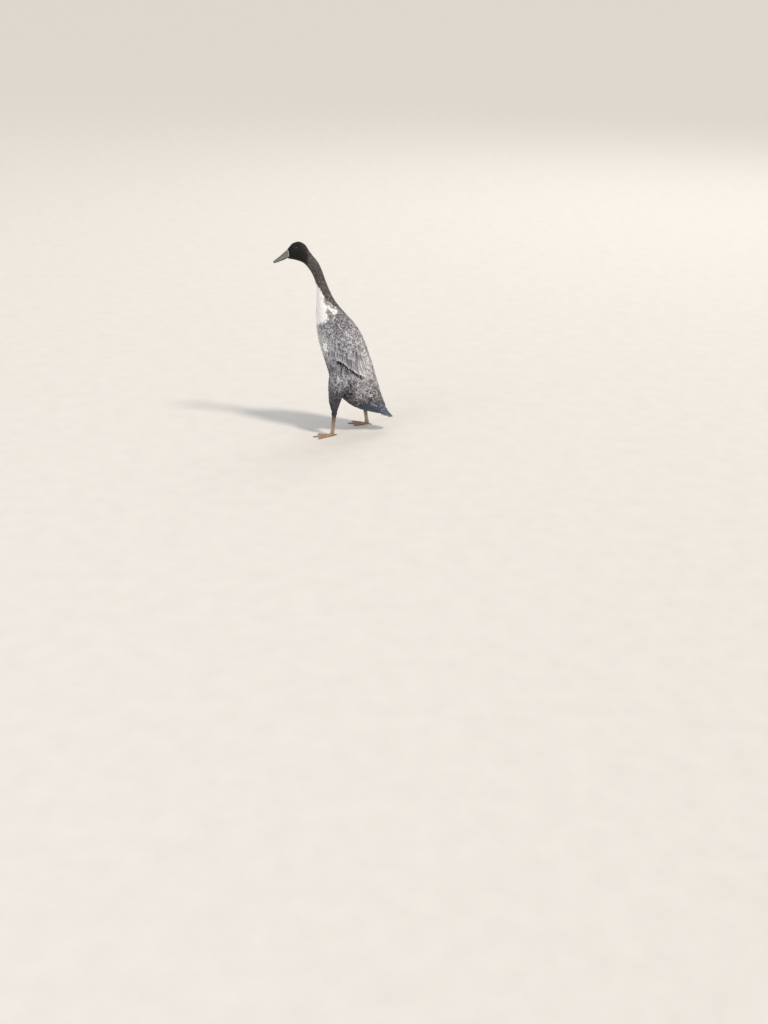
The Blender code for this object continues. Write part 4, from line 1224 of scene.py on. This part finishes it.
def billLobe(sign):
    # the horn that runs back from the bill over the side of the face
    q = np.linspace(0, 1, 44)[:, None]
    degrees = np.linspace(*bill["lobeTurns"], 76)[None, :]
    start, end = np.interp(degrees, *bare.T), body["lastStation"]
    margin, low, high, far = bill["lobe"]
    station = start - margin + (end - start + margin) * np.clip(q / 0.5, 0, 1)
    over = (station - start) / margin
    face = bodyPoint(station, degrees, low + (high - low) * smooth(-1.0, 1.4, over))
    ahead = np.clip((q - 0.3) / 0.7, 0, 1) + 0 * degrees
    mouth, culmen = bill["rows"][0, 4], bill["rows"][0, 2]
    height = (bodyPoint(end, degrees)[0, :, 2] - mouth) / (culmen - mouth)
    height = np.clip(height, 0.03, 0.99) + 0 * ahead
    front, wide = billSurface(far * ahead, height)
    blend = smooth(0.0, 0.8, ahead)[..., None]
    # it stands out from the bill, and sinks into it where it runs out
    front = front * (1 + (0.025 - 0.05 * ahead[..., None]) * np.array([1, 0, 0]))
    outer = face + (front - face) * blend
    # closed inside the bill, half as far from its middle
    rings = np.concatenate([outer, outer[:, ::-1] * (0.5, 1, 1)], axis=1) * (sign, 1, 1)
    made = loft("bill_lobe", rings)
    marks = (-0.3 * smooth(4.0, 0.5, over), wide)
    paint(made, "horn", *(np.append(np.hstack([m, m[:, ::-1]]), (0, 0)) for m in marks))
    return made


def makeBill():
    share = 1 - (1 - np.linspace(0, 1, bill["samples"][0])) ** 1.15
    upper, ring = billRings("upper", share)
    points, normals = pointsOf(upper), pointsOf(upper, "normal")
    points[:, 2] += bill["gap"] / 2
    far = np.append(np.repeat(share, len(ring)), (0, 1))
    width = np.append(np.tile(ring[:, 0], len(share)), (0, 0))
    inside = len(ring) - bill["samples"][2]
    outside = np.append(np.tile(np.arange(len(ring)) < inside, len(share)), (False, False))
    begin, halfNail, rise = bill["nail"]
    nail = outside * smooth(1.04, 0.90, np.hypot((1.0 - far) / (1.0 - begin), width / halfNail))
    at, height, halfLong, halfHigh, deep, lip = bill["nostril"]
    culmen, mouth, *_ = billSection(at)
    lie = unit(culmen - bill["rows"][2, 1:3])
    away = points[:, 1:] - mouth - (culmen - mouth) * height
    ahead, aside = away @ lie, away @ np.array([-lie[1], lie[0]])
    off = np.hypot(ahead / halfLong, aside / halfHigh)
    push = lip * np.exp(-((off - 1.5) / 0.35) ** 2) - deep * smooth(1.15, 0.6, off)
    setPoints(upper, points + normals * (rise * nail + outside * push)[:, None])
    paint(upper, "horn", far, np.abs(width), nail, smooth(1.2, 0.8, off))
    upper = joined("bill_sheath_upper", [upper, billLobe(1), billLobe(-1)])

    lower, ring = billRings("lower", share)
    points = pointsOf(lower)
    width = np.append(np.tile(ring[:, 0], len(share)), (0, 0))
    height = np.append(np.tile(ring[:, 1], len(share)), (1, 1))
    spacing, stand, start, end = bill["comb"]
    comb = (np.abs(width) > 0.8) * smooth(0.5, 0.2, height)
    comb = comb * smooth(*start, far) * smooth(*end, far)
    beat = 0.5 + 0.5 * np.cos(points[:, 1] * 2 * np.pi / spacing)
    points *= (bill["lowerShare"], 1, 1)
    points[:, 0] += np.sign(width) * stand * comb * beat
    points[:, 2] -= bill["gap"] / 2
    setPoints(lower, points)
    paint(lower, "horn", far, np.abs(width), 0, comb * (1 - beat))
    print("bill:", len(upper.data.polygons) + len(lower.data.polygons), "faces")
    return upper, lower


finish["bill_upper"], finish["bill_lower"] = makeBill()


lid = {
    "opening": (0.0043, 0.0037),  # half width and half height between the lids
    # distance out from the opening and height over the eyeball
    "section": np.array([
        (-0.0002, -0.0004), (0.0000, 0.0001), (0.0004, 0.00035), (0.0010, 0.00030),
        (0.0016, 0.0), (0.0024, -0.0007), (0.0032, -0.0018),
    ]),
    "tilt": 8.0,  # degrees the opening's long way rises to the back
    "power": 1.75,  # under 2 draws the corners out
    "samples": 96,
    "upper": 0.0003,  # how much further the upper lid stands out
    "thick": 0.0009,
    "flat": 0.005,  # beyond this far out the skin no longer follows the ball
}


def eyeAxes(sign):
    look = Vector(eye["look"] * (sign, 1, 1)).normalized()
    back = (Vector((0, 1, 0)) - look * look.y).normalized()
    rise = look.cross(back) * sign
    if rise.z < 0:
        rise = -rise
    turn = Matrix.Rotation(math.radians(lid["tilt"]) * -sign, 3, look)
    centre = Vector(eye["spot"] * (sign, 1, 1)) - look * (eye["radius"] - eye["bulge"])
    return np.array(centre), np.array(look), np.array(turn @ back), np.array(turn @ rise)


def makeEye(side, sign):
    centre, look, back, rise = eyeAxes(sign)

    def placed(high, reach, turn):
        # points so high over the middle of the ball and so far out, in a direction round it
        return (centre + high[..., None] * look + (reach * np.cos(turn))[..., None] * back
                + (reach * np.sin(turn))[..., None] * rise)

    polar = np.linspace(0.02, math.pi - 0.02, 64)[:, None]
    turn = circle(72)[None, :]
    # the cornea stands a little out of the ball
    radius = eye["radius"] * (1 + eye["cornea"] * smooth(0.75, 0.0, polar))
    rings = placed(radius * np.cos(polar), radius * np.sin(polar), turn)
    ball = loft(f"eyeball_{side}", rings[:, ::sign])
    paint(ball, "iris", np.append(np.repeat(polar, 72), (0, math.pi)))

    turn = circle(lid["samples"])
    (a, b), power = lid["opening"], lid["power"]
    reach = (np.abs(np.cos(turn) / a) ** power + np.abs(np.sin(turn) / b) ** power) ** (-1 / power)
    upperLid = smooth(-0.2, 0.6, np.sin(turn))
    rows = []
    for out, high in along(lid["section"], np.linspace(0, len(lid["section"]) - 1, 20)):
        r = reach + out
        high = high + lid["upper"] * upperLid * (out > 0)
        high = high + np.sqrt(eye["radius"] ** 2 - np.minimum(r, lid["flat"]) ** 2)
        rows.append(placed(high, r, turn))
    rings = np.array(rows + [r - look * lid["thick"] for r in rows[::-1]] + rows[:1])
    quads = gridQuads(len(rings), lid["samples"], True)
    lids = meshFrom(f"lids_{side}", rings.reshape(-1, 3), quads[:, ::sign])
    paint(lids, "fold", np.repeat(np.linspace(0, 1, len(rings)), lid["samples"]))
    return ball, lids


for side, sign in legs["sides"]:
    finish[f"eye_{side}"], finish[f"lids_{side}"] = makeEye(side, sign)
print("eyes and lids")


def toeWay(side, sign, degrees):
    turn = math.radians(degrees + foot["yaw"][side]) * sign
    return np.array([math.sin(turn), -math.cos(turn), 0.0])


def toeRings(start, way, run, height, radius, narrow, count):
    # rings along a toe or a claw that lies on the floor
    a = circle(count)[None, :]
    across = np.array([-way[1], way[0], 0])
    rings = start + way * run[..., None] + across * (radius * narrow * np.cos(a))[..., None]
    return rings + upward * (height + radius * np.sin(a))[..., None]


def makeFoot(side, sign):
    heel, hock = np.array(foot["heel"][side]), np.array(legs[side][-1][:3])
    ground = heel * (1, 1, 0)
    ways = {toe: toeWay(side, sign, numbers[0]) for toe, numbers in foot["toes"].items()}
    count, swell = foot["knuckles"]
    pieces = []
    for toe, (_, length, thick, thin) in foot["toes"].items():
        t = np.linspace(0, 1, 50)[:, None]
        radius = thick + (thin - thick) * t
        radius = radius * (1 + swell * np.cos(2 * math.pi * (t * count + 0.5)))
        radius = radius * smooth(*foot["toeEnd"], t) ** 0.5
        height = radius * foot["toeFlatness"] + foot["hindLift"] * (toe == "hind") * (1 - t)
        pieces.append(loft("toe", toeRings(ground, ways[toe], length * t, height, radius, 1, 28)))
    for pair in foot["webs"]:
        q = np.linspace(0.10, 1, 40)[:, None, None]
        r = np.linspace(0, 1, 40)[None, :, None]
        one, two = (ways[toe] * foot["toes"][toe][1] * foot["webReach"] for toe in pair)
        bow = np.sin(math.pi * r)
        flat = ground + (one * (1 - r) + two * r) * q * (1 - foot["webSag"] * bow)
        ripples, tall = foot["webRipples"]
        ripple = tall * np.sin(r * ripples * math.pi) * q * bow
        top = flat + upward * (foot["webLift"] + foot["webThick"] + ripple)
        low = flat + upward * (foot["webLift"] + ripple * 0.5)
        pieces.append(loft("web", np.concatenate([top, low[:, ::-1]], axis=1)))
    rings = [ground + upward * height + shankRing(radius, circle(28))
             for height, radius in foot["instep"]]
    pieces.append(loft("instep", rings[::-1]))
    t = np.linspace(0, 1, 110)[:, None]
    shank = hock + (heel - hock) * t[..., None]
    shank = shank + shankRing(readings(foot["shankRadii"], t)[0], circle(64)[None, :])
    pieces.append(loft("shank", shank[::-1]))
    made = remeshed(joined(f"foot_skin_{side}", pieces), foot["voxel"], foot["smoothing"])
    points, normals = pointsOf(made), pointsOf(made, "normal")
    # plates across the front of the shank and along the top of each toe
    step, onToe = np.zeros((2, len(points)))
    far, close, start, top = foot["toePlates"]
    for toe, (_, length, *_) in foot["toes"].items():
        away = points - ground
        run = away @ ways[toe]
        off = np.linalg.norm(away - run[:, None] * ways[toe] * (1, 1, 0), axis=1)
        near = smooth(far, close, off) * (run > start) * (run < length) * (points[:, 2] < top)
        step = np.where(near > onToe, run / foot["toeScute"], step)
        onToe = np.maximum(onToe, near)
    front = smooth(0.0, 0.6, -normals[:, 1]) * smooth(*foot["shankPlates"], points[:, 2])
    step = np.where(front > onToe, points[:, 2] / foot["scute"], step)
    plates = np.maximum(front, onToe * smooth(0.1, 0.6, normals[:, 2]))
    saw = step % 1.0
    points += normals * (foot["scuteRise"] * plates * (saw ** 1.5 - 0.4))[:, None]
    points[:, 2] = np.maximum(points[:, 2], 0.0)
    setPoints(made, points)
    web = smooth(0.35, 0.0, onToe) * (points[:, 2] < foot["webTop"])
    paint(made, "scales", plates, saw, web, points[:, 2] / foot["tall"])
    return made


def makeClaws(side, sign):
    ground = np.array(foot["heel"][side]) * (1, 1, 0)
    long, wide, inside = foot["claw"]
    pieces = []
    for toe, (degrees, length, _, thin) in foot["toes"].items():
        reach = long * (foot["hindClaw"] if toe == "hind" else 1.0)
        t = np.linspace(0, 1, 22)[:, None]
        radius = min(wide, thin * 0.8) * (1 - 0.9 * t ** 1.4)
        height = radius + foot["clawArch"] * np.sin(math.pi * np.clip(t * 0.9 + 0.1, 0, 1))
        run = length - inside + (reach + inside) * t
        way = toeWay(side, sign, degrees)
        pieces.append(loft("claw", toeRings(ground, way, run, height, radius, 0.85, 22)))
    return joined(f"claws_{side}", pieces)


for side, sign in legs["sides"]:
    finish[f"foot_{side}"] = makeFoot(side, sign)
    finish[f"claws_{side}"] = makeClaws(side, sign)
    print(f"foot_{side}:", len(finish[f"foot_{side}"].data.polygons), "faces")


def add(tree, kind, inputs=None, settings=None, stops=()):
    # adds a node with its settings, a ramp's colours, and its inputs as links or plain values
    made = tree.nodes.new("ShaderNode" + kind)
    for key, value in (settings or {}).items():
        setattr(made, key, value)
    elements = made.color_ramp.elements if stops else []
    while len(elements) < len(stops):
        elements.new(0.5)
    for element, (place, colour) in zip(elements, stops):
        element.position = place
        element.color = linear(colour)
    for key, value in (inputs or {}).items():
        if isinstance(value, bpy.types.Node):
            value = next(s for s in value.outputs if s.enabled)
        if isinstance(value, bpy.types.NodeSocket):
            tree.links.new(value, made.inputs[key])
        else:
            made.inputs[key].default_value = value
    return made


def dressed(name, look, *numbers):
    # a material: look is given a function that adds nodes, the place on the bird and its own
    # numbers, and gives back the inputs of the one shader
    made = bpy.data.materials.new(name)
    made.use_nodes = True
    tree = made.node_tree
    tree.nodes.clear()
    place = add(tree, "TexCoord").outputs["Object"]
    shader = add(tree, "BsdfPrincipled", look(partial(add, tree), place, *numbers))
    add(tree, "OutputMaterial", {0: shader})
    return made


def perMetre(mm):
    return 1000.0 / mm


def surface(add, colour, worn, height, numbers, **more):
    # roughness follows worn, relief follows height; numbers hold the least and most roughness,
    # the relief's strength and depth in metres, and the index of refraction
    smoothest, roughest, strength, depth, index = numbers
    return {
        "Base Color": colour, "Roughness": add("MapRange", {0: worn, 3: smoothest, 4: roughest}),
        "Normal": add("Bump", {"Strength": strength, "Distance": depth, "Height": height}),
        "IOR": index, **more,
    }


smoothly, inColour = {"interpolation_type": "SMOOTHSTEP"}, {"data_type": "RGBA"}
multiply, multiplyAdd = {"operation": "MULTIPLY"}, {"operation": "MULTIPLY_ADD"}


plumage = {
    # from the palest grey of the fringes to the darkest flecks
    "grey": ((0.0, "#e4e1df"), (0.28, "#b4b1b2"), (0.48, "#878588"), (0.68, "#59575b"),
             (0.86, "#2d2b2f"), (1.0, "#161417")),
    "brown": ((0.0, "#a39c9a"), (0.35, "#6d6664"), (0.6, "#3d3836"), (1.0, "#1c1918")),
    "black": ((0.25, "#060505"), (0.75, "#15100f")),
    "white": ((0.0, "#fbfaf7"), (1.0, "#d2cec9")),
    "slate": "#566379",
    "fleck": 3.1,  # mm between the dark and pale flecks of a feather
    "fuzz": 0.9,  # mm between the tufts that the barbs' ends make
    "tip": 0.80,  # where the pale fringe starts, along a feather and across it
    "rim": 0.62,
    "surface": (0.52, 0.78, 0.35, 0.00025, 1.54),
    "sheen": {"Specular IOR Level": 0.24, "Sheen Weight": 0.06, "Sheen Roughness": 0.45},
    # paler fringe, darker quill, flecks, share of slate, and mm between barbs: real ones stand
    # about 0.4 apart, which shows only on the head
    "kinds": {
        "contour feathers, soft matt keratin": (0.25, 0.18, 1.20, 0.04, 0.85),
        "flight feathers, smooth matt keratin": (0.25, 0.20, 1.35, 0.08, 0.85),
        "tail feathers, smooth slate keratin": (0.38, 0.26, 0.60, 0.38, 0.85),
        "head feathers, short velvety keratin": (0.26, 0.20, 0.80, 0.04, 0.45),
    },
}


def feathered(add, place, fringe, centre, fleck, cool, spacing):
    # feather: dry keratin barbs, matt with a faint silky sheen along their lie
    vane = add("Attribute", settings={"attribute_name": "vane"})
    run, across, barb = add("SeparateColor", {0: vane}).outputs
    marks = add("Attribute", settings={"attribute_name": "marking"})
    white, black, brown = add("SeparateColor", {0: marks}).outputs
    flecks = add("TexNoise", {
        "Vector": place, "Scale": perMetre(plumage["fleck"]), "Detail": 3.0, "Roughness": 0.6,
    })
    phase = add("Math", {0: barb, 1: 2 * math.pi / spacing}, multiply)
    barbs = add("Math", {0: phase}, {"operation": "SINE"})
    # pale fringe round the tip, broken up by the barbs, and darker along the quill
    frayed = add("Math", {0: flecks, 1: 0.5, 2: -0.25}, multiplyAdd)
    frayed = add("Math", {0: barbs, 1: 0.07, 2: frayed}, multiplyAdd)
    endward, outward = (
        add("MapRange", {0: add("Math", {0: share, 1: frayed}), 1: start, 2: 1.0}, smoothly)
        for share, start in ((run, plumage["tip"]), (across, plumage["rim"]))
    )
    edge = add("Math", {0: endward, 1: outward}, {"operation": "MAXIMUM"})
    middle = add("MapRange", {0: across, 1: 0.55, 2: 0.0}, smoothly)
    dark = add("Math", {0: flecks, 1: fleck, 2: marks.outputs["Alpha"]}, multiplyAdd)
    dark = add("Math", {0: dark, 1: fleck / 2}, {"operation": "SUBTRACT"})
    dark = add("Math", {0: edge, 1: -fringe, 2: dark}, multiplyAdd)
    dark = add("Math", {0: middle, 1: centre, 2: dark}, multiplyAdd)
    grey = add("ValToRGB", {0: dark}, stops=plumage["grey"])
    colour = add("Mix", {0: cool, 6: grey, 7: linear(plumage["slate"])}, inColour)
    for tone, share, shade in ((brown, dark, "brown"), (black, flecks, "black"),
                               (white, flecks, "white")):
        over = add("ValToRGB", {0: share}, stops=plumage[shade])
        colour = add("Mix", {0: tone, 6: colour, 7: over}, inColour)
    fuzz = add("TexNoise", {"Vector": place, "Scale": perMetre(plumage["fuzz"]), "Detail": 2.0})
    height = add("Math", {0: barbs, 1: 0.35, 2: fuzz}, multiplyAdd)
    return surface(add, colour, fuzz, height, plumage["surface"], **plumage["sheen"])


hornTones = {
    "upper": ("#45463f", "#64655c", "#83847a"),
    # the lower bill's near-black tones are painted shade on its underside
    "lower": ("#141412", "#1f1f1b", "#2e2e29"),
    # colour, start and end across the bill, and share of the margin and of the culmen
    "across": (("#85867b", 0.80, 1.0, 0.30), ("#46473f", 0.32, 0.0, 0.45)),
    "nail": "#2b2a25",
    "nostril": "#15140f",
    "lobe": "#a3a498",  # paler where the horn thins out against the feathers
    "cloud": 7.0,  # mm between the paler clouds
    "pit": 1.1,  # mm between pits
    "surface": (0.26, 0.46, 0.25, 0.0002, 1.54),
    "depth": {"Subsurface Weight": 0.05, "Subsurface Scale": 0.002},
}


def horny(add, place, shades):
    # bill: thin horn over bone, smooth and satin, finely pitted towards the tip
    horn = add("Attribute", settings={"attribute_name": "horn"})
    run, across, nail = add("SeparateColor", {0: horn}).outputs
    cloud = add("TexNoise", {"Vector": place, "Scale": perMetre(hornTones["cloud"]), "Detail": 4.0})
    tone = add("Math", {0: cloud, 1: 0.7, 2: -0.1}, multiplyAdd)
    # shades picks the tones; those of the lower bill carry painted shade
    colour = add("ValToRGB", {0: tone}, stops=tuple(zip((0.0, 0.45, 1.0), hornTones[shades])))
    layers = []
    for over, start, end, amount in hornTones["across"]:
        share = add("MapRange", {0: across, 1: start, 2: end}, smoothly)
        layers.append((add("Math", {0: share, 1: amount}, multiply), over))
    layers += [(nail, hornTones["nail"]), (horn.outputs["Alpha"], hornTones["nostril"])]
    thin = add("MapRange", {0: run, 1: -0.06, 2: -0.26, 4: 0.7}, smoothly)
    for share, over in (*layers, (thin, hornTones["lobe"])):
        colour = add("Mix", {0: share, 6: colour, 7: linear(over)}, inColour)
    pits = add("TexVoronoi", {"Vector": place, "Scale": perMetre(hornTones["pit"])})
    grain = add("Math", {0: pits, 1: 0.35, 2: cloud}, multiplyAdd)
    return surface(add, colour, cloud, grain, hornTones["surface"], **hornTones["depth"])


bareTones = {
    # from the pupil over the iris to the dark rim of the ball
    "iris": ((0.0, "#030202"), (0.40, "#040302"), (0.46, "#20130c"), (0.62, "#2b1a10"),
             (0.80, "#150c08"), (0.92, "#0b0706")),
    "lid": ((0.15, "#0b0a09"), (0.42, "#332d29"), (0.60, "#171311")),
    # from the toes up the shank; darker at the top, partly painted shade under the body
    "leg": ((0.10, "#8c6241"), (0.24, "#8f6e50"), (0.50, "#a8957f"), (0.72, "#8a7c6d"),
            (1.05, "#4a4038")),
    "web": "#764f36",
    "claw": ((0.3, "#1c1815"), (0.55, "#3b322a"), (0.8, "#6a5a48")),
    # mm between fibres of the iris, creases, clouds and small scales of the leg, streaks
    "fibre": 0.7,
    "crease": 0.5,
    "cloud": 9.0,
    "scale": 1.5,
    "streak": 1.6,
}


def wetEye(add, place):
    # eye: wet cornea over a dark brown iris and a black pupil
    iris = add("Attribute", settings={"attribute_name": "iris"})
    spread = add("SeparateColor", {0: iris})
    scale = perMetre(bareTones["fibre"])
    fibres = add("TexNoise", {"Vector": place, "Scale": scale, "Detail": 3.0})
    wander = add("Math", {0: fibres, 1: 0.08, 2: spread}, multiplyAdd)
    return {
        "Base Color": add("ValToRGB", {0: wander}, stops=bareTones["iris"]),
        "Roughness": 0.3, "Specular IOR Level": 0.0,
        "Coat Weight": 1.0, "Coat Roughness": 0.02, "Coat IOR": 1.376,
    }


def creased(add, place):
    # lids: thin bare skin, dark and finely creased, a little moist at the rim
    fold = add("Attribute", settings={"attribute_name": "fold"})
    out = add("SeparateColor", {0: fold})
    scale = perMetre(bareTones["crease"])
    crease = add("TexNoise", {"Vector": place, "Scale": scale, "Detail": 3.0})
    tone = add("Math", {0: crease, 1: 0.4, 2: out}, multiplyAdd)
    colour = add("ValToRGB", {0: tone}, stops=bareTones["lid"])
    return surface(add, colour, crease, crease, (0.35, 0.55, 0.4, 0.00015, 1.45))


def scaled(add, place):
    # legs: leathery scaled skin, darker above partly with painted shade under the body, orange-tan
    # on the toes, dusty and half matt
    scales = add("Attribute", settings={"attribute_name": "scales"})
    plate, saw, web = add("SeparateColor", {0: scales}).outputs
    cloud = add("TexNoise", {"Vector": place, "Scale": perMetre(bareTones["cloud"]), "Detail": 4.0})
    height = add("Math", {0: cloud, 1: 0.5, 2: scales.outputs["Alpha"]}, multiplyAdd)
    base = add("ValToRGB", {0: height}, stops=bareTones["leg"])
    webTone = add("Math", {0: web, 1: 0.6}, multiply)
    colour = add("Mix", {0: webTone, 6: base, 7: linear(bareTones["web"])}, inColour)
    cells = add("TexVoronoi", {"Vector": place, "Scale": perMetre(bareTones["scale"])},
                {"feature": "DISTANCE_TO_EDGE"})
    seam = add("MapRange", {0: cells, 1: 0.0, 2: 0.22}, smoothly)
    groove = add("MapRange", {0: saw, 1: 0.0, 2: 0.2}, smoothly)
    line = add("MapRange", {0: add("Mix", {0: plate, 2: seam, 3: groove}), 3: 0.55, 4: 1.0})
    colour = add("Mix", {0: 1.0, 6: colour, 7: line}, inColour | {"blend_type": "MULTIPLY"})
    depth = {"Subsurface Weight": 0.08, "Subsurface Scale": 0.003}
    return surface(add, colour, cloud, line, (0.42, 0.68, 0.6, 0.0003, 1.5), **depth)


def wornHorn(add, place):
    # claws: dark horn, worn satin, paler where it thins
    scale = perMetre(bareTones["streak"])
    streaks = add("TexNoise", {"Vector": place, "Scale": scale, "Detail": 4.0})
    colour = add("ValToRGB", {0: streaks}, stops=bareTones["claw"])
    return surface(add, colour, streaks, streaks, (0.3, 0.5, 0.3, 0.0001, 1.54))


paint(skin, "marking", *markingsAt(skinPoints, np.zeros(len(skinPoints))).T)
paint(skin, "vane", 0.4, 0.4, 0.0, 0.5)
bodyFeather, flightFeather, tailFeather, headFeather = (
    dressed(name, feathered, *numbers) for name, numbers in plumage["kinds"].items()
)
billHorn = dressed("upper bill, satin horn", horny, "upper")
shadedLowerHorn = dressed("lower bill, satin horn with painted shade", horny, "lower")
eyeWet = dressed("eye, wet cornea over a dark iris", wetEye)
lidSkin = dressed("eyelid, fine bare skin", creased)
legSkin = dressed("leg, leathery scaled skin", scaled)
clawHorn = dressed("claw, worn dark horn", wornHorn)
# each piece, its material, its slot and the nodes it stands for
dressing = [
    (skin, bodyFeather, "body", ("torso", "neck_lower", "neck_upper", "head", "thigh_left",
                                 "thigh_right", "tail", "wing_left", "wing_right")),
    (finish["head_coat"], headFeather, "head", ()),
    (finish["neck_coat"], bodyFeather, "neck", ()),
    (finish["bill_upper"], billHorn, "bill", ("bill_upper",)),
    (finish["bill_lower"], shadedLowerHorn, "bill", ("bill_lower",)),
    (finish["tail_coat"], tailFeather, "flight", ()),
    (finish["vent_coat"], tailFeather, "flight", ()),
]
for name, *_ in coat["pieces"][1:-2]:
    dressing.append((finish[name], bodyFeather, "body", ()))
for side, _ in legs["sides"]:
    dressing += [
        (finish[f"thigh_coat_{side}"], bodyFeather, "body", ()),
        (finish[f"wing_coat_{side}"], flightFeather, "flight", ()),
        (finish[f"eye_{side}"], eyeWet, "eye", (f"eye_{side}",)),
        (finish[f"lids_{side}"], lidSkin, "head", ()),
        (finish[f"foot_{side}"], legSkin, "leg", (f"foot_{side}", f"shank_{side}")),
        (finish[f"claws_{side}"], clawHorn, "claw", tuple(
            f"claw_{side}_{toe}" for toe in foot["toes"])),
    ]
for piece, material, slot, nodes in dressing:
    piece.data.materials.clear()
    piece.data.materials.append(material)
    piece.data.transform(onFrame)
    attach(piece, "root")
    if nodes:
        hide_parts(*nodes)
print("materials on", len(dressing), "pieces")


studio = {
    "floor": ((0.3, "#bebbb6"), (0.7, "#c2bfba")),
    "floorReach": 60.0,  # metres from its middle to each side
    "floorCloud": 60.0,  # mm between the board's faint clouds
    # name, kind, place, what it looks at, size in metres or angle, power, colour
    "lamps": (
        ("fill", "AREA", (5.0, -4.5, 4.0), (0, 0, 0.28), {"size": 5.0, "energy": 170}, "#eef3ff"),
        ("back", "AREA", (-4.5, 2.5, 4.5), (0, 0, 0.28), {"size": 4.0, "energy": 120}, "#ffffff"),
        ("sun", "SUN", (1.1, 1.5, 2.3), (0, 0, 0), {"angle": math.radians(9.0), "energy": 2.7},
         "#fff6ea"),
    ),
    "world": ("#e9e9ea", 0.85),
}
# the photo was taken from the bird's left, 4.3 m away, looking a little down
view = {"place": (4.33365, 0.1504, 1.41), "down": 21.2, "lens": 51.75, "sensor": 36.0, "far": 200.0}


def board(add, place):
    # floor: pale matt board, which keeps the eye on the bird
    scale = perMetre(studio["floorCloud"])
    cloud = add("TexNoise", {"Vector": place, "Scale": scale, "Detail": 3.0})
    return {"Base Color": add("ValToRGB", {0: cloud}, stops=studio["floor"]), "Roughness": 0.85}


def standing(name, data, place, turn=(0, 0, 0)):
    made = bpy.data.objects.new(name, data)
    made.location = place
    made.rotation_euler = turn
    bpy.context.scene.collection.objects.link(made)
    return made


def makeStudio():
    mesh = bpy.data.meshes.new("floor")
    far = studio["floorReach"]
    corners = [(-far, -far, 0), (far, -far, 0), (far, far, 0), (-far, far, 0)]
    mesh.from_pydata(corners, [], [(0, 1, 2, 3)])
    mesh.materials.append(dressed("floor, pale matt board", board))
    standing("floor", mesh, (0, 0, 0))
    for name, kind, place, aim, settings, colour in studio["lamps"]:
        lamp = bpy.data.lights.new(name, kind)
        lamp.color = linear(colour)[:3]
        for key, value in settings.items():
            setattr(lamp, key, value)
        look = Vector(aim) - Vector(place)
        standing(name, lamp, place, look.to_track_quat("-Z", "Y").to_euler())
    world = bpy.data.worlds.new("soft room")
    world.use_nodes = True
    background = world.node_tree.nodes["Background"]
    colour, power = studio["world"]
    background.inputs["Color"].default_value = linear(colour)
    background.inputs["Strength"].default_value = power
    bpy.context.scene.world = world
    camera = bpy.data.cameras.new("camera")
    camera.lens, camera.sensor_width, camera.clip_end = view["lens"], view["sensor"], view["far"]
    tilt = (math.radians(90 - view["down"]), 0, math.radians(90))
    bpy.context.scene.camera = standing("camera", camera, view["place"], tilt)
    bpy.context.scene.view_settings.view_transform = "Standard"


makeStudio()
